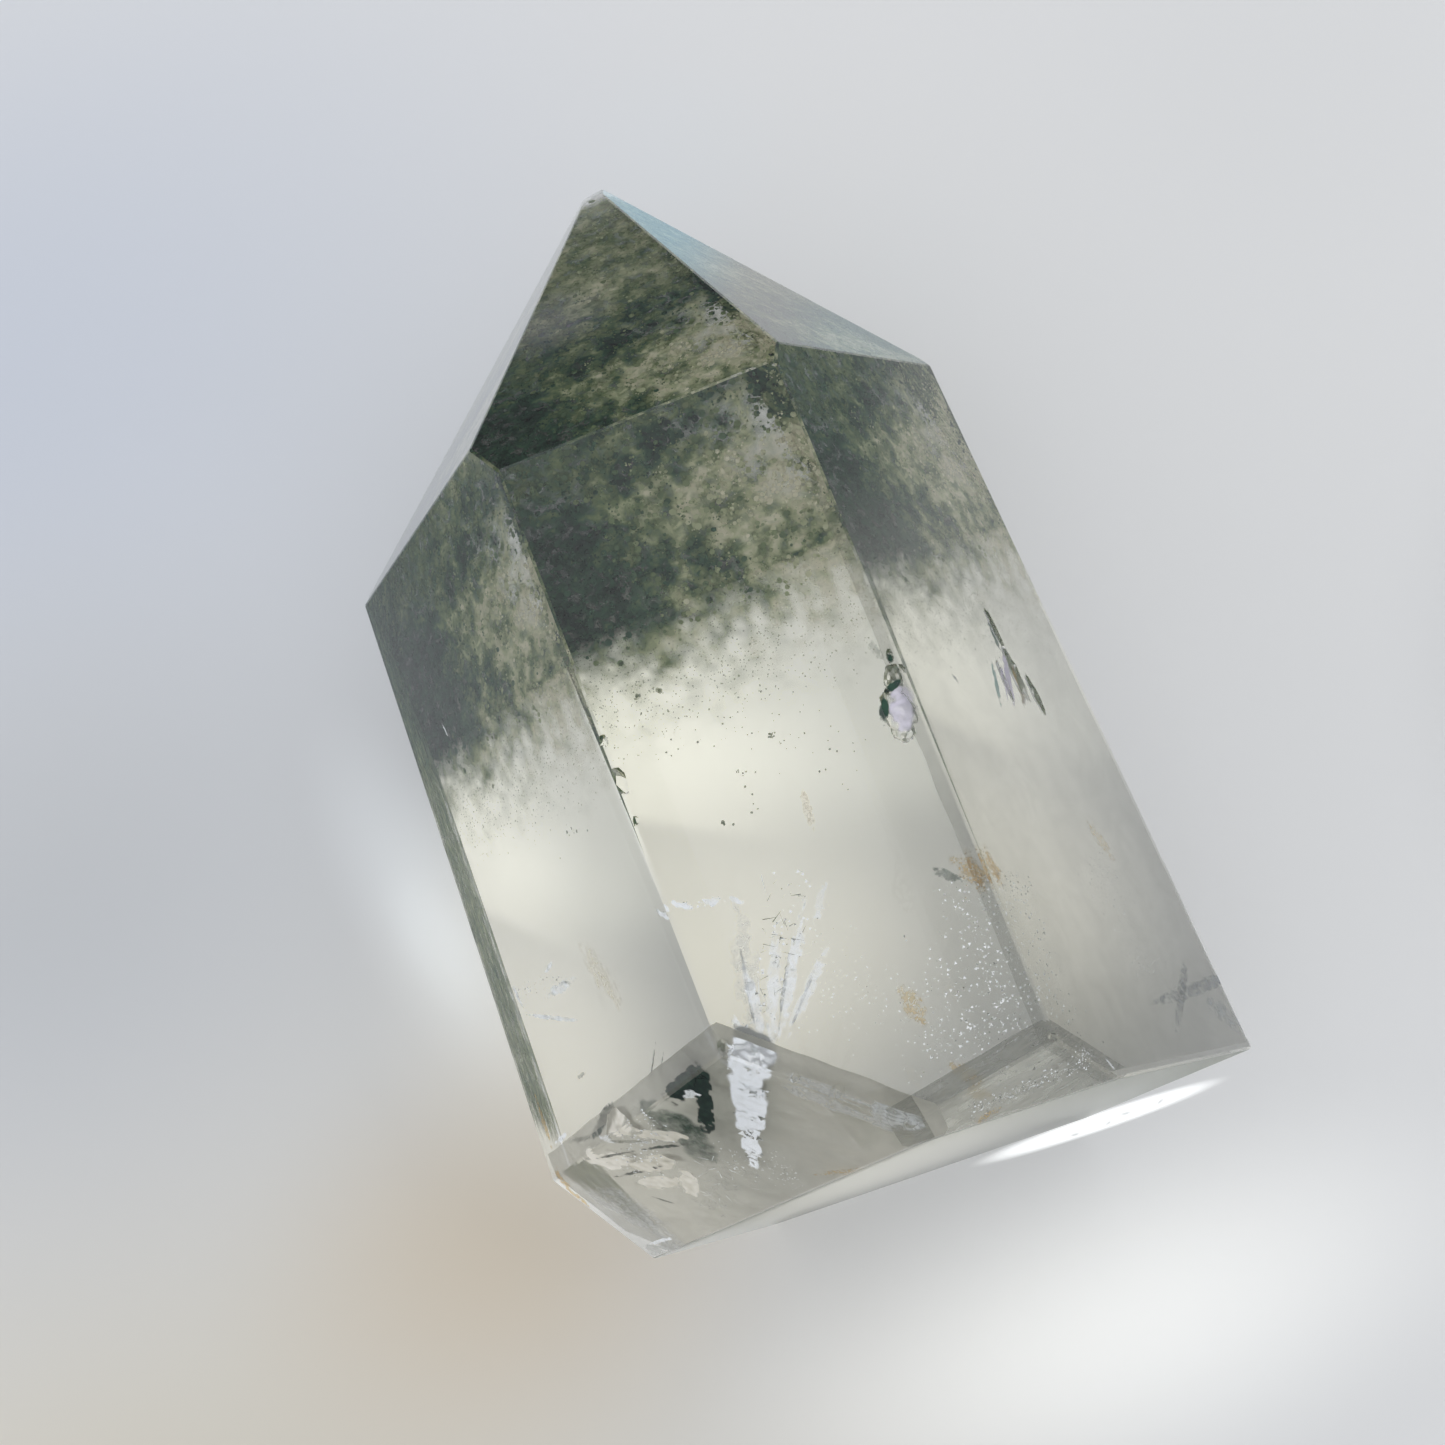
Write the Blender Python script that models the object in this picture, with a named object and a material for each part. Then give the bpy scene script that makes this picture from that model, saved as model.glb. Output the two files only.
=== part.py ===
"""Garden quartz tower, lying on its back face.

The stone grew as one crystal, so it is one closed solid: six prism faces, six faces
that meet at the tip, a sawn base with two cut corners, narrow polished edges, and the
pits and chips of the real stone. The tip points along +Y and the front face looks up.

Lengths are in millimetres here and become metres in the mesh. A face is given by its
bearing round the long axis (0 looks up, 90 looks along +X), its lean towards the tip,
both in degrees, and its reach, which is its distance from the middle of the stone.
"""
import math
import random
from collections import namedtuple

import bmesh
import bpy
from mathutils import Euler, Matrix, Vector

MM = 0.001

LENGTH = 80.0
BACK_REACH = 22.0
EDGE_POLISH = 0.22

Face = namedtuple("Face", "bearing lean reach")

# The six long faces. The stone widens a little towards its base.
PRISM_FACES = {
    "front": Face(0.0, 1.5, 25.4),
    "front_left": Face(-59.5, -0.2, 20.35),
    "front_right": Face(60.0, -0.1, 21.05),
    "back_left": Face(-119.9, 0.1, 21.55),
    "back_right": Face(112.2, 1.1, 20.62),
    "back": Face(180.0, 0.0, BACK_REACH),
}

# The six faces that meet at the tip. The upper three are the ones the photograph shows.
TIP_FACES = {
    "tip_front": Face(-0.5, 34.9, 24.65),
    "tip_left": Face(-53.1, 39.0, 23.45),
    "tip_right": Face(53.0, 30.0, 24.1),
    "tip_back_left": Face(-127.0, 43.6, 25.0),
    "tip_back_right": Face(124.0, 30.8, 23.0),
    "tip_back": Face(180.0, 34.4, 21.3),
}

# The sawn base, the two corners cut off beside it and the small break at the tip.
CUT_FACES = {
    "base": Face(-75.7, -87.7, LENGTH / 2 - 0.05),
    "cut_left": Face(-58.7, -44.0, 36.75),
    "cut_right": Face(13.1, -55.9, 46.5),
    "tip_chip": Face(-14.1, 50.0, 30.55),
}

# A hollow's place on its face, then its half width, half length and depth, and its turn.
Hollow = namedtuple("Hollow", "face across along size turn seed")

# Open pits: three joined lobes and two pin-holes beside the right edge of the front face,
# and the long feather-shaped pit of the front right face.
HOLLOWS = (
    Hollow("front", 8.6, -15.2, (0.55, 0.95, 0.75), -8.0, 3),
    Hollow("front", 8.15, -17.0, (0.95, 1.35, 1.35), 6.0, 8),
    Hollow("front", 7.95, -18.2, (0.65, 0.80, 0.70), 20.0, 14),
    Hollow("front", 8.95, -13.75, (0.20, 0.42, 0.40), -10.0, 21),
    Hollow("front", 9.35, -14.75, (0.18, 0.30, 0.35), 12.0, 27),
    Hollow("front_right", 17.6, -10.1, (0.38, 1.45, 0.70), 5.0, 31),
    Hollow("front_right", 17.7, -13.6, (0.62, 2.10, 0.95), 3.0, 36),
    Hollow("front_right", 16.5, -14.3, (0.30, 1.60, 0.50), -4.0, 42),
    Hollow("front_right", 18.6, -15.0, (0.45, 1.50, 0.70), 8.0, 47),
)

# Small breaks along the edges of the front face.
CHIPS = (
    Hollow("front", -8.45, -12.2, (0.42, 0.34, 0.36), 30.0, 51),
    Hollow("front", -8.25, -14.9, (0.48, 0.95, 0.45), 4.0, 57),
    Hollow("front", -8.15, -17.5, (0.22, 0.30, 0.22), -20.0, 62),
    Hollow("front", -7.85, -31.4, (0.50, 0.55, 0.50), 25.0, 68),
    Hollow("front", -3.15, -35.95, (0.75, 0.40, 0.34), 40.0, 74),
    Hollow("front", -4.80, -34.30, (0.42, 0.26, 0.24), 38.0, 79),
    Hollow("front", 0.10, -38.75, (0.60, 0.42, 0.42), 10.0, 83),
    Hollow("front", 9.60, 6.90, (0.30, 0.30, 0.22), 0.0, 88),
    Hollow("front", 9.10, -37.30, (0.45, 0.32, 0.32), -30.0, 93),
)

LUMP_ROUGHNESS = 0.16
HOLLOW_FINENESS = 3
CHIP_FINENESS = 2
START_CUBE = 3.0 * LENGTH


def outward(face):
    """The unit direction that a face looks in."""
    bearing = math.radians(face.bearing)
    lean = math.radians(face.lean)
    flat = math.cos(lean)
    return Vector((math.sin(bearing) * flat, math.sin(lean), math.cos(bearing) * flat))


def cut_off(mesh, point, direction):
    """Remove what lies beyond a plane and close the cut with one flat face."""
    everything = mesh.verts[:] + mesh.edges[:] + mesh.faces[:]
    cut = bmesh.ops.bisect_plane(
        mesh, geom=everything, plane_co=point, plane_no=direction, clear_outer=True
    )
    rim = [item for item in cut["geom_cut"] if isinstance(item, bmesh.types.BMEdge)]
    if rim:
        bmesh.ops.edgeloop_fill(mesh, edges=rim)


def cut_crystal():
    """The sharp-edged crystal about its own middle, in millimetres."""
    mesh = bmesh.new()
    bmesh.ops.create_cube(mesh, size=START_CUBE)
    for faces in (PRISM_FACES, TIP_FACES, CUT_FACES):
        for face in faces.values():
            direction = outward(face)
            cut_off(mesh, direction * face.reach, direction)
    mesh.normal_update()
    return mesh


def polish_edges(mesh, width):
    """Take every edge down to a narrow flat of the given width, as a polishing wheel does."""
    planes = []
    for edge in mesh.edges:
        first, second = (face.normal for face in edge.link_faces)
        half_turn = first.angle(second) / 2
        bisector = (first + second).normalized()
        depth = width / 2 * math.tan(half_turn)
        middle = (edge.verts[0].co + edge.verts[1].co) / 2
        planes.append((middle - bisector * depth, bisector))
    for point, direction in planes:
        cut_off(mesh, point, direction)


def rest_shift(mesh):
    """How far the stone moves so that the middle of its footprint is the origin."""
    lowest = Vector([min(v.co[i] for v in mesh.verts) for i in range(3)])
    highest = Vector([max(v.co[i] for v in mesh.verts) for i in range(3)])
    return Vector((-(lowest.x + highest.x) / 2, -(lowest.y + highest.y) / 2, -lowest.z))


def new_object(name, mesh, shift):
    """Turn a mesh in millimetres into an object in metres, with its place in the mesh."""
    bmesh.ops.translate(mesh, verts=mesh.verts[:], vec=shift)
    bmesh.ops.scale(mesh, verts=mesh.verts[:], vec=(MM, MM, MM))
    bmesh.ops.recalc_face_normals(mesh, faces=mesh.faces[:])
    data = bpy.data.meshes.new(name)
    mesh.to_mesh(data)
    mesh.free()
    thing = bpy.data.objects.new(name, data)
    bpy.context.scene.collection.objects.link(thing)
    return thing


def point_on_face(hollow):
    """The point of a face that a hollow is centred on."""
    face = PRISM_FACES[hollow.face]
    direction = outward(face)
    z = (face.reach - direction.x * hollow.across - direction.y * hollow.along) / direction.z
    return Vector((hollow.across, hollow.along, z)), direction


def face_frame(direction):
    """Axes on a face: across it, along the stone and straight out."""
    across = Vector((0.0, 1.0, 0.0)).cross(direction).normalized()
    along = direction.cross(across)
    return Matrix((across, along, direction)).transposed()


def shell_cutter(name, hollow, shift, fineness):
    """A rough, flat-sided lump that leaves a shell-shaped break where it bites."""
    draw = random.Random(hollow.seed)
    mesh = bmesh.new()
    bmesh.ops.create_icosphere(mesh, subdivisions=fineness, radius=1.0)
    for vert in mesh.verts:
        vert.co *= 1.0 + draw.uniform(-LUMP_ROUGHNESS, LUMP_ROUGHNESS)
    bmesh.ops.scale(mesh, verts=mesh.verts[:], vec=hollow.size)
    centre, direction = point_on_face(hollow)
    turn = Euler((0.0, 0.0, math.radians(hollow.turn))).to_matrix()
    placed = (face_frame(direction) @ turn).to_4x4()
    bmesh.ops.transform(mesh, verts=mesh.verts[:], matrix=Matrix.Translation(centre) @ placed)
    cutter = new_object(name, mesh, shift)
    cutter.display_type = "WIRE"
    cutter.hide_render = True
    return cutter


def take_away(stone, cutters):
    """Cut every lump out of the stone in one step."""
    group = bpy.data.collections.new("hollows_and_chips")
    for cutter in cutters:
        group.objects.link(cutter)
    cut = stone.modifiers.new("hollows_and_chips", "BOOLEAN")
    cut.operation = "DIFFERENCE"
    cut.solver = "EXACT"
    cut.operand_type = "COLLECTION"
    cut.collection = group


def clear_quartz():
    """Clear rock crystal with a green cast from the chlorite grown inside it."""
    material = bpy.data.materials.new("clear_green_quartz")
    material.use_nodes = True
    shader = material.node_tree.nodes["Principled BSDF"]
    shader.inputs["Base Color"].default_value = (0.50, 0.55, 0.47, 1.0)
    shader.inputs["Roughness"].default_value = 0.04
    shader.inputs["Metallic"].default_value = 0.0
    shader.inputs["IOR"].default_value = 1.544
    shader.inputs["Transmission Weight"].default_value = 0.9
    return material


def build_stone():
    """The whole stone as one object with its hollows and chips cut out."""
    crystal = cut_crystal()
    polish_edges(crystal, EDGE_POLISH)
    shift = rest_shift(crystal)
    stone = new_object("quartz_point", crystal, shift)
    stone.data.materials.append(clear_quartz())
    cutters = []
    for number, hollow in enumerate(HOLLOWS, start=1):
        cutters.append(shell_cutter(f"hollow_{number}", hollow, shift, HOLLOW_FINENESS))
    for number, chip in enumerate(CHIPS, start=1):
        cutters.append(shell_cutter(f"chip_{number}", chip, shift, CHIP_FINENESS))
    take_away(stone, cutters)
    return stone


def main():
    """Clear the scene and build the stone."""
    for thing in list(bpy.data.objects):
        bpy.data.objects.remove(thing, do_unlink=True)
    build_stone()


main()
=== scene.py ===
"""Garden quartz tower: the polished stone, the garden that grew inside it, and a soft studio."""
import math
import random
from collections import namedtuple

import bmesh
import bpy
import numpy as np
from bpy.props import FloatProperty, FloatVectorProperty, IntProperty, PointerProperty, StringProperty
from bpy.types import Operator, Panel, PropertyGroup
from mathutils import Matrix, Vector, noise


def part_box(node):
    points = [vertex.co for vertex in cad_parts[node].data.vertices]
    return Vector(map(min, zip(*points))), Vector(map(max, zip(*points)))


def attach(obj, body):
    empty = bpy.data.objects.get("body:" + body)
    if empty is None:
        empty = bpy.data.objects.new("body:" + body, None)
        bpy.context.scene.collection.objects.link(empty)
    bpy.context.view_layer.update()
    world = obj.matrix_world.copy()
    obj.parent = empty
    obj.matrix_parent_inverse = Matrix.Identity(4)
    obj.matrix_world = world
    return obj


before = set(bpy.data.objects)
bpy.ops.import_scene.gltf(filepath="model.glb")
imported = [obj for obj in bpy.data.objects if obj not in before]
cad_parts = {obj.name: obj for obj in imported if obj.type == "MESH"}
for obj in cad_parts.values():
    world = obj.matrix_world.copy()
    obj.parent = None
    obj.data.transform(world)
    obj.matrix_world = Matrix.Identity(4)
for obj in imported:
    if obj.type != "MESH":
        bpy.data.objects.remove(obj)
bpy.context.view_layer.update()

STONE_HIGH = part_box("quartz_point")[1]

bl_info = {
    "name": "Garden Quartz Tower",
    "version": (1, 0, 0),
    "blender": (4, 5, 0),
    "location": "View3D > Sidebar > Quartz",
    "description": "Polishes the quartz, grows its garden and lights the studio",
    "category": "Object",
}

MM = 0.001

# An oval on the floor card: its middle, half sizes and turn in mm and degrees, how soft its
# edge is, and the colour it turns the card to or the light it adds.
Pool = namedtuple("Pool", "x y width height turn softness colour")

# Painted light and shade in the card's colour: where the room's light tints it cool or warm, and darker
# where soft shade falls.
PAINTED_ROOM_LIGHT = (
    Pool(-60.0, 62.0, 95.0, 80.0, 0.0, 1.0, "D4D9E2"),
    Pool(-70.0, -62.0, 90.0, 75.0, 0.0, 1.0, "DAD3C2"),
    Pool(-34.0, -34.0, 28.0, 22.0, 0.0, 1.0, "DDD2C0"),
    Pool(-66.0, 8.0, 50.0, 46.0, 0.0, 1.0, "CED0D2"),
    Pool(96.0, -34.0, 50.0, 48.0, 0.0, 0.8, "A4A6A6"),
)

# Painted reflections: how the polished faces see the card, darker where the room beyond it is dark, and
# bluish or lilac in places.
PAINTED_REFLECTIONS = (
    Pool(0.0, 232.0, 150.0, 104.0, 0.0, 0.3, "58585C"),
    Pool(-6.0, 204.0, 15.0, 30.0, 0.0, 0.9, "BCB0C8"),
    Pool(70.0, 44.0, 24.0, 30.0, 0.0, 0.8, "98A09C"),
    Pool(-66.0, 44.0, 26.0, 30.0, 0.0, 0.8, "B2B8B6"),
    Pool(-46.5, -58.0, 12.0, 12.0, 0.0, 0.6, "3C403C"),
    Pool(15.0, 58.0, 12.0, 12.0, 0.0, 0.8, "CFEAF6"),
    Pool(31.0, 38.0, 10.0, 12.0, 0.0, 0.8, "DCE6E8"),
)

# Painted light: glow in the card where the stone throws light on it, under it, left of it and at its base.
LIGHT_POOLS = (
    Pool(-31.0, -3.0, 8.0, 22.0, 10.0, 1.0, "5E6264"),
    Pool(-31.2, -7.0, 4.0, 9.0, 14.0, 0.8, "34383A"),
    Pool(-13.0, -14.0, 28.0, 28.0, 0.0, 1.0, "9B988D"),
    Pool(-5.0, -26.0, 22.0, 15.0, 0.0, 1.0, "6E6B62"),
    Pool(8.0, -12.0, 18.0, 26.0, 0.0, 0.8, "4C4C48"),
    Pool(10.0, -55.0, 38.0, 16.0, 0.0, 1.0, "8A8A86"),
    Pool(15.2, -40.75, 11.4, 0.8, -2.2, 0.4, "BEC0C0"),
)

# Painted reflection of a blue sky: glow that only the mirrored card has.
PAINTED_SKY_REFLECTION = (
    Pool(15.0, 58.0, 14.0, 14.0, 0.0, 0.8, "42525A"),
)

# Painted shadows: short dark gaps in the bright line at the base, the light that they take away.
GAPS = (
    Pool(20.3, -41.0, 0.5, 0.13, 20.0, 0.8, "A0A0A0"),
    Pool(17.4, -40.9, 0.6, 0.14, -8.0, 0.8, "A0A0A0"),
    Pool(15.8, -41.1, 0.4, 0.12, 12.0, 0.8, "A0A0A0"),
    Pool(13.0, -41.0, 0.5, 0.13, -4.0, 0.8, "A0A0A0"),
)

# The bright band of painted light under the stone starts at a straight edge: the edge's direction across it,
# where its light starts and is full, in mm from the origin, and the oval that it lights.
Band = namedtuple("Band", "start full pool")
BAND_ACROSS = (0.493, 0.87, 0.0)
BANDS = (
    Band(-13.6, -11.9, Pool(-10.0, -5.0, 19.0, 16.0, 0.0, 0.9, "706F66")),
    Band(-14.0, -5.5, Pool(2.0, -4.0, 24.0, 18.0, 0.0, 0.5, "6E6E67")),
)

# The way each face looks through which the inclusions show.
FACING = {
    "front": (0.0, 0.026, 1.0),
    "front_left": (-0.862, -0.003, 0.508),
    "front_right": (0.866, -0.002, 0.5),
    "cut_left": (-0.615, -0.695, 0.374),
    "cut_right": (0.127, -0.828, 0.546),
    "base": (-0.039, -0.999, 0.01),
}

# The garden's faces: the way each looks, and the middle along the stone and the reach of the
# crust's sheet under it, in mm.
GARDEN_FACES = {
    "back": ((0.0, 0.0, -1.0), 12.0, 30.0),
    "under_tip": ((0.0, 0.565, -0.825), 20.0, 30.0),
    "left": ((-0.867, 0.0, -0.5), 0.0, 46.0),
    "right": ((0.913, 0.0, -0.407), 16.0, 30.0),
    "tip_left": ((-0.578, 0.69, -0.436), 20.0, 30.0),
    "tip_right": ((0.712, 0.512, -0.48), 20.0, 30.0),
}

# The way a crack faces so that it mirrors the room's light out of the face over it.
MIRRORING = {
    "up": (0.0, 0.05, 1.0),
    "lup": (-0.45, 0.05, 0.89),
    "f1up": (-0.42, -0.5, 0.76),
    "f2up": (0.1, -0.45, 0.88),
    "rup": (0.55, 0.0, 0.83),
}

# Places where a pit was left unpolished: the middle and reach in mm.
PITS = (
    ((8.6, -16.2, 47.8), 2.9),
    ((17.9, -12.4, 33.4), 5.0),
)

# A ragged patch of stain, haze or crack: its kind, the two ends of its middle line, its half
# width and the size of its rags in mm, how full it is, where more than 1 is solid almost to its
# rim, how pale it is and how it faces.
Wisp = namedtuple("Wisp", "kind start end width rag full tint facing")

WISPS = (
    Wisp("iron", (8.2, -25.3, 45.1), (9.7, -27.3, 45.1), 0.75, 0.5, 0.62, 0.55, "front"),
    Wisp("iron", (9.1, -25.1, 45.1), (9.1, -27.7, 45.1), 0.55, 0.5, 0.6, 0.3, "front"),
    Wisp("iron", (2.8, -30.9, 45.2), (3.2, -33.2, 45.3), 0.65, 0.4, 0.6, 0.7, "front"),
    Wisp("iron", (3.6, -35.8, 45.4), (5.1, -37.4, 45.4), 0.5, 0.35, 0.5, 0.6, "front"),
    Wisp("iron", (1.7, -18.2, 45.3), (1.5, -20.8, 45.4), 0.3, 0.3, 0.28, 0.0, "front"),
    Wisp("iron", (17.0, -23.3, 29.2), (17.7, -26.0, 27.8), 0.8, 0.5, 0.45, 0.6, "front_right"),
    Wisp("iron", (-13.7, -19.6, 34.3), (-12.1, -24.7, 36.9), 1.3, 0.8, 0.28, 1.0, "front_left"),
    Wisp("iron", (-5.7, -37.8, 36.8), (-2.1, -38.8, 40.9), 0.3, 0.3, 0.5, 0.5, "cut_left"),
    Wisp("iron", (3.7, -38.7, 45.3), (5.3, -38.5, 45.2), 0.35, 0.3, 0.7, 0.4, "cut_right"),
    Wisp("green", (6.9, -25.4, 45.1), (8.2, -26.6, 45.1), 0.35, 0.3, 0.6, 0.3, "front"),
    Wisp("green", (8.7, -11.4, 45.7), (8.9, -12.8, 45.8), 0.3, 0.3, 0.4, 0.4, "front"),
    Wisp("green", (-15.5, -29.4, 32.7), (-18.4, -30.5, 27.7), 0.55, 0.9, 1.0, 0.12, "front_left"),
    Wisp("green", (-18.2, -30.5, 28.1), (-20.8, -29.7, 23.6), 0.22, 0.5, 0.7, 0.2, "front_left"),
    Wisp("green", (-10.6, -27.8, 39.5), (-12.1, -29.8, 36.9), 0.1, 0.4, 0.8, 0.1, "front_left"),
    Wisp("green", (-10.2, -28.5, 40.0), (-11.2, -29.8, 38.3), 0.07, 0.4, 0.7, 0.1, "front_left"),
    Wisp("green", (-17.7, -26.5, 27.4), (-16.7, -26.6, 29.1), 0.18, 0.3, 0.5, 0.3, "front_left"),
    Wisp("blue", (16.1, -35.9, 33.6), (25.5, -35.0, 17.4), 0.55, 0.5, 0.7, 0.3, "front_right"),
    Wisp("blue", (21.0, -33.3, 25.2), (17.1, -38.0, 31.9), 0.5, 0.5, 0.7, 0.2, "front_right"),
    Wisp("blue", (20.9, -36.4, 25.4), (23.4, -38.9, 21.0), 1.0, 0.6, 0.45, 0.8, "front_right"),
    Wisp("milk", (-5.0, -33.1, 46.5), (0.1, -37.7, 46.3), 1.0, 2.6, 0.5, 0.9, "cut_left"),
    Wisp("milk", (-0.6, -36.6, 48.0), (1.2, -38.5, 47.6), 1.5, 2.0, 1.1, 0.45, "cut_left"),
    Wisp("milk", (-20.7, -37.2, 12.9), (-15.9, -38.5, 18.5), 0.9, 0.8, 0.7, 0.6, "cut_left"),
    Wisp("milk", (-4.2, -22.8, 44.0), (-5.8, -31.3, 44.2), 1.0, 0.8, 0.3, 1.0, "front"),
    Wisp("film", (-5.6, -31.9, 44.3), (-4.9, -25.9, 44.1), 0.4, 0.5, 0.8, 1.0, "up"),
    Wisp("film", (-5.3, -31.6, 44.0), (-2.5, -25.0, 43.8), 0.5, 0.5, 0.7, 1.0, "up"),
    Wisp("film", (-4.8, -31.4, 43.6), (-0.3, -24.0, 43.5), 0.45, 0.5, 0.8, 1.0, "up"),
    Wisp("film", (-4.3, -31.2, 43.3), (-0.1, -27.1, 43.2), 0.4, 0.5, 0.7, 1.0, "up"),
    Wisp("blue", (-5.8, -30.7, 43.8), (-4.8, -25.0, 43.7), 0.12, 0.4, 0.7, 0.4, "front"),
    Wisp("blue", (-4.9, -31.3, 43.4), (-1.9, -25.8, 43.3), 0.14, 0.4, 0.6, 0.4, "front"),
    Wisp("blue", (-3.9, -30.8, 43.2), (-1.0, -27.7, 43.1), 0.12, 0.4, 0.6, 0.3, "front"),
    Wisp("film", (-0.4, -25.7, 43.2), (1.1, -23.5, 43.1), 0.35, 0.4, 0.6, 1.0, "up"),
    Wisp("film", (-6.7, -28.8, 44.0), (-6.4, -30.4, 44.0), 0.3, 0.4, 0.9, 1.0, "up"),
    Wisp("film", (-7.7, -21.6, 45.0), (-6.6, -22.5, 45.0), 0.25, 0.3, 1.0, 0.9, "up"),
    Wisp("film", (-6.0, -22.4, 45.0), (-4.8, -22.7, 45.0), 0.3, 0.3, 1.0, 0.9, "up"),
    Wisp("film", (-4.5, -22.6, 45.0), (-3.7, -23.3, 45.0), 0.2, 0.3, 1.0, 0.9, "up"),
    Wisp("film", (-20.6, -17.9, 22.5), (-20.3, -20.1, 23.0), 0.25, 0.3, 1.0, 0.6, "lup"),
    Wisp("film", (-18.0, -20.8, 26.8), (-14.9, -20.8, 32.1), 0.45, 0.4, 1.0, 0.7, "lup"),
    Wisp("film", (-20.4, -20.7, 22.8), (-15.4, -23.4, 31.2), 0.22, 0.3, 1.0, 0.6, "lup"),
    Wisp("film", (-17.3, -19.3, 28.0), (-16.3, -18.9, 29.8), 0.2, 0.3, 0.8, 0.8, "lup"),
    Wisp("film", (-22.0, -29.4, 22.1), (-20.5, -29.2, 24.6), 0.25, 0.3, 1.0, 1.0, "lup"),
    Wisp("film", (-19.0, 1.3, 25.3), (-18.8, 0.1, 25.6), 0.12, 0.3, 0.9, 1.0, "lup"),
    Wisp("film", (-19.0, -30.6, 27.1), (-14.5, -32.0, 34.7), 0.25, 0.4, 0.8, 1.0, "lup"),
    Wisp("film", (-19.2, -37.2, 15.7), (-17.2, -37.5, 18.4), 0.25, 0.4, 0.9, 1.0, "f1up"),
    Wisp("film", (10.9, -37.1, 46.0), (12.1, -37.8, 44.7), 0.2, 0.3, 0.9, 1.0, "f2up"),
    Wisp("film", (9.6, -36.2, 47.6), (10.5, -36.7, 46.7), 0.15, 0.3, 0.9, 1.0, "f2up"),
    Wisp("film", (11.8, -38.3, 43.9), (12.1, -39.1, 42.7), 0.15, 0.3, 0.9, 0.7, "f2up"),
    Wisp("iron", (-22.6, -25.4, 21.9), (-22.7, -29.6, 21.7), 0.4, 0.5, 1.0, 0.45, "front_left"),
    Wisp("iron", (-22.9, -31.8, 20.2), (-22.2, -33.9, 17.4), 0.5, 0.5, 1.0, 0.45, "cut_left"),
    Wisp("iron", (-23.0, -30.8, 21.9), (-22.8, -32.3, 19.6), 0.4, 0.5, 0.9, 0.35, "cut_left"),
    Wisp("green", (-9.1, -30.7, 44.8), (-10.7, -33.4, 37.0), 0.62, 0.8, 2.6, 0.0, "cut_left"),
    Wisp("green", (-11.9, -31.1, 39.3), (-9.1, -30.8, 44.3), 0.65, 0.8, 2.4, 0.0, "cut_left"),
    Wisp("green", (-11.1, -31.8, 37.3), (-11.8, -33.9, 32.1), 1.8, 1.8, 0.7, 0.4, "cut_left"),
    Wisp("green", (-13.7, -30.9, 34.7), (-11.1, -32.0, 36.9), 1.6, 1.8, 0.6, 0.45, "cut_left"),
    Wisp("green", (-15.7, -32.3, 31.0), (-12.2, -33.4, 34.8), 0.22, 0.4, 1.0, 0.0, "cut_left"),
    Wisp("green", (-19.0, -32.8, 24.8), (-14.7, -33.7, 30.1), 0.2, 0.4, 1.0, 0.0, "cut_left"),
    Wisp("green", (-17.0, -34.8, 24.4), (-15.5, -35.9, 24.8), 0.16, 0.4, 0.9, 0.1, "cut_left"),
    Wisp("green", (-19.7, -31.3, 26.3), (-15.7, -32.3, 31.0), 0.14, 0.4, 0.9, 0.1, "cut_left"),
    Wisp("film", (-6.0, -31.2, 47.7), (-6.7, -32.2, 44.6), 1.45, 2.4, 2.6, 1.0, "f1up"),
    Wisp("film", (-6.5, -32.0, 45.3), (-7.2, -33.2, 42.0), 1.25, 2.4, 2.6, 1.0, "f1up"),
    Wisp("film", (-7.0, -32.8, 43.0), (-7.8, -34.1, 39.3), 1.0, 2.4, 2.6, 1.0, "f1up"),
    Wisp("film", (-7.6, -33.8, 40.3), (-8.3, -35.0, 36.8), 0.72, 2.4, 2.6, 1.0, "f1up"),
    Wisp("film", (-8.1, -34.7, 37.8), (-8.8, -36.0, 34.1), 0.45, 2.4, 2.6, 1.0, "f1up"),
    Wisp("cream", (-18.5, -30.2, 29.6), (-14.6, -31.0, 34.5), 1.0, 1.4, 2.0, 0.7, "f1up"),
    Wisp("cream", (-15.4, -31.2, 32.9), (-12.1, -32.9, 35.1), 0.75, 1.4, 2.0, 0.6, "f1up"),
    Wisp("cream", (-20.1, -31.2, 25.1), (-16.3, -32.3, 29.4), 1.1, 1.4, 2.0, 0.7, "f1up"),
    Wisp("cream", (-17.1, -32.7, 27.3), (-13.0, -33.8, 31.8), 1.0, 1.4, 2.0, 0.5, "f1up"),
    Wisp("cream", (-17.1, -33.7, 25.4), (-13.5, -35.0, 28.9), 0.8, 1.4, 2.0, 0.6, "f1up"),
    Wisp("cream", (-13.2, -34.0, 31.2), (-13.9, -35.8, 26.8), 0.8, 1.4, 2.0, 0.6, "f1up"),
    Wisp("film", (-10.9, -31.3, 40.9), (-9.8, -31.5, 42.4), 0.45, 0.5, 1.0, 0.6, "f1up"),
    Wisp("milk", (-20.4, -32.0, 22.0), (-17.4, -37.2, 17.2), 3.0, 2.6, 0.5, 1.0, "cut_left"),
    Wisp("green", (7.4, -16.9, 47.6), (8.2, -14.9, 47.5), 0.3, 0.5, 1.6, 0.25, "front"),
    Wisp("green", (8.2, -15.1, 47.5), (9.3, -14.6, 47.5), 0.26, 0.5, 1.6, 0.2, "front"),
    Wisp("lilac", (9.1, -15.1, 47.5), (8.4, -17.7, 47.5), 0.9, 1.0, 0.9, 0.8, "front"),
    Wisp("green", (9.3, -12.8, 47.5), (9.2, -13.5, 47.5), 0.2, 0.3, 1.2, 0.3, "front"),
    Wisp("lilac", (17.6, -11.3, 33.6), (16.5, -15.5, 35.5), 0.42, 1.0, 1.2, 0.5, "front_right"),
    Wisp("lilac", (17.2, -11.7, 34.4), (16.2, -15.3, 36.2), 0.1, 1.0, 1.6, 1.0, "front_right"),
    Wisp("tan", (18.2, -12.1, 32.6), (17.3, -15.5, 34.1), 0.42, 0.8, 1.2, 0.3, "front_right"),
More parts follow.
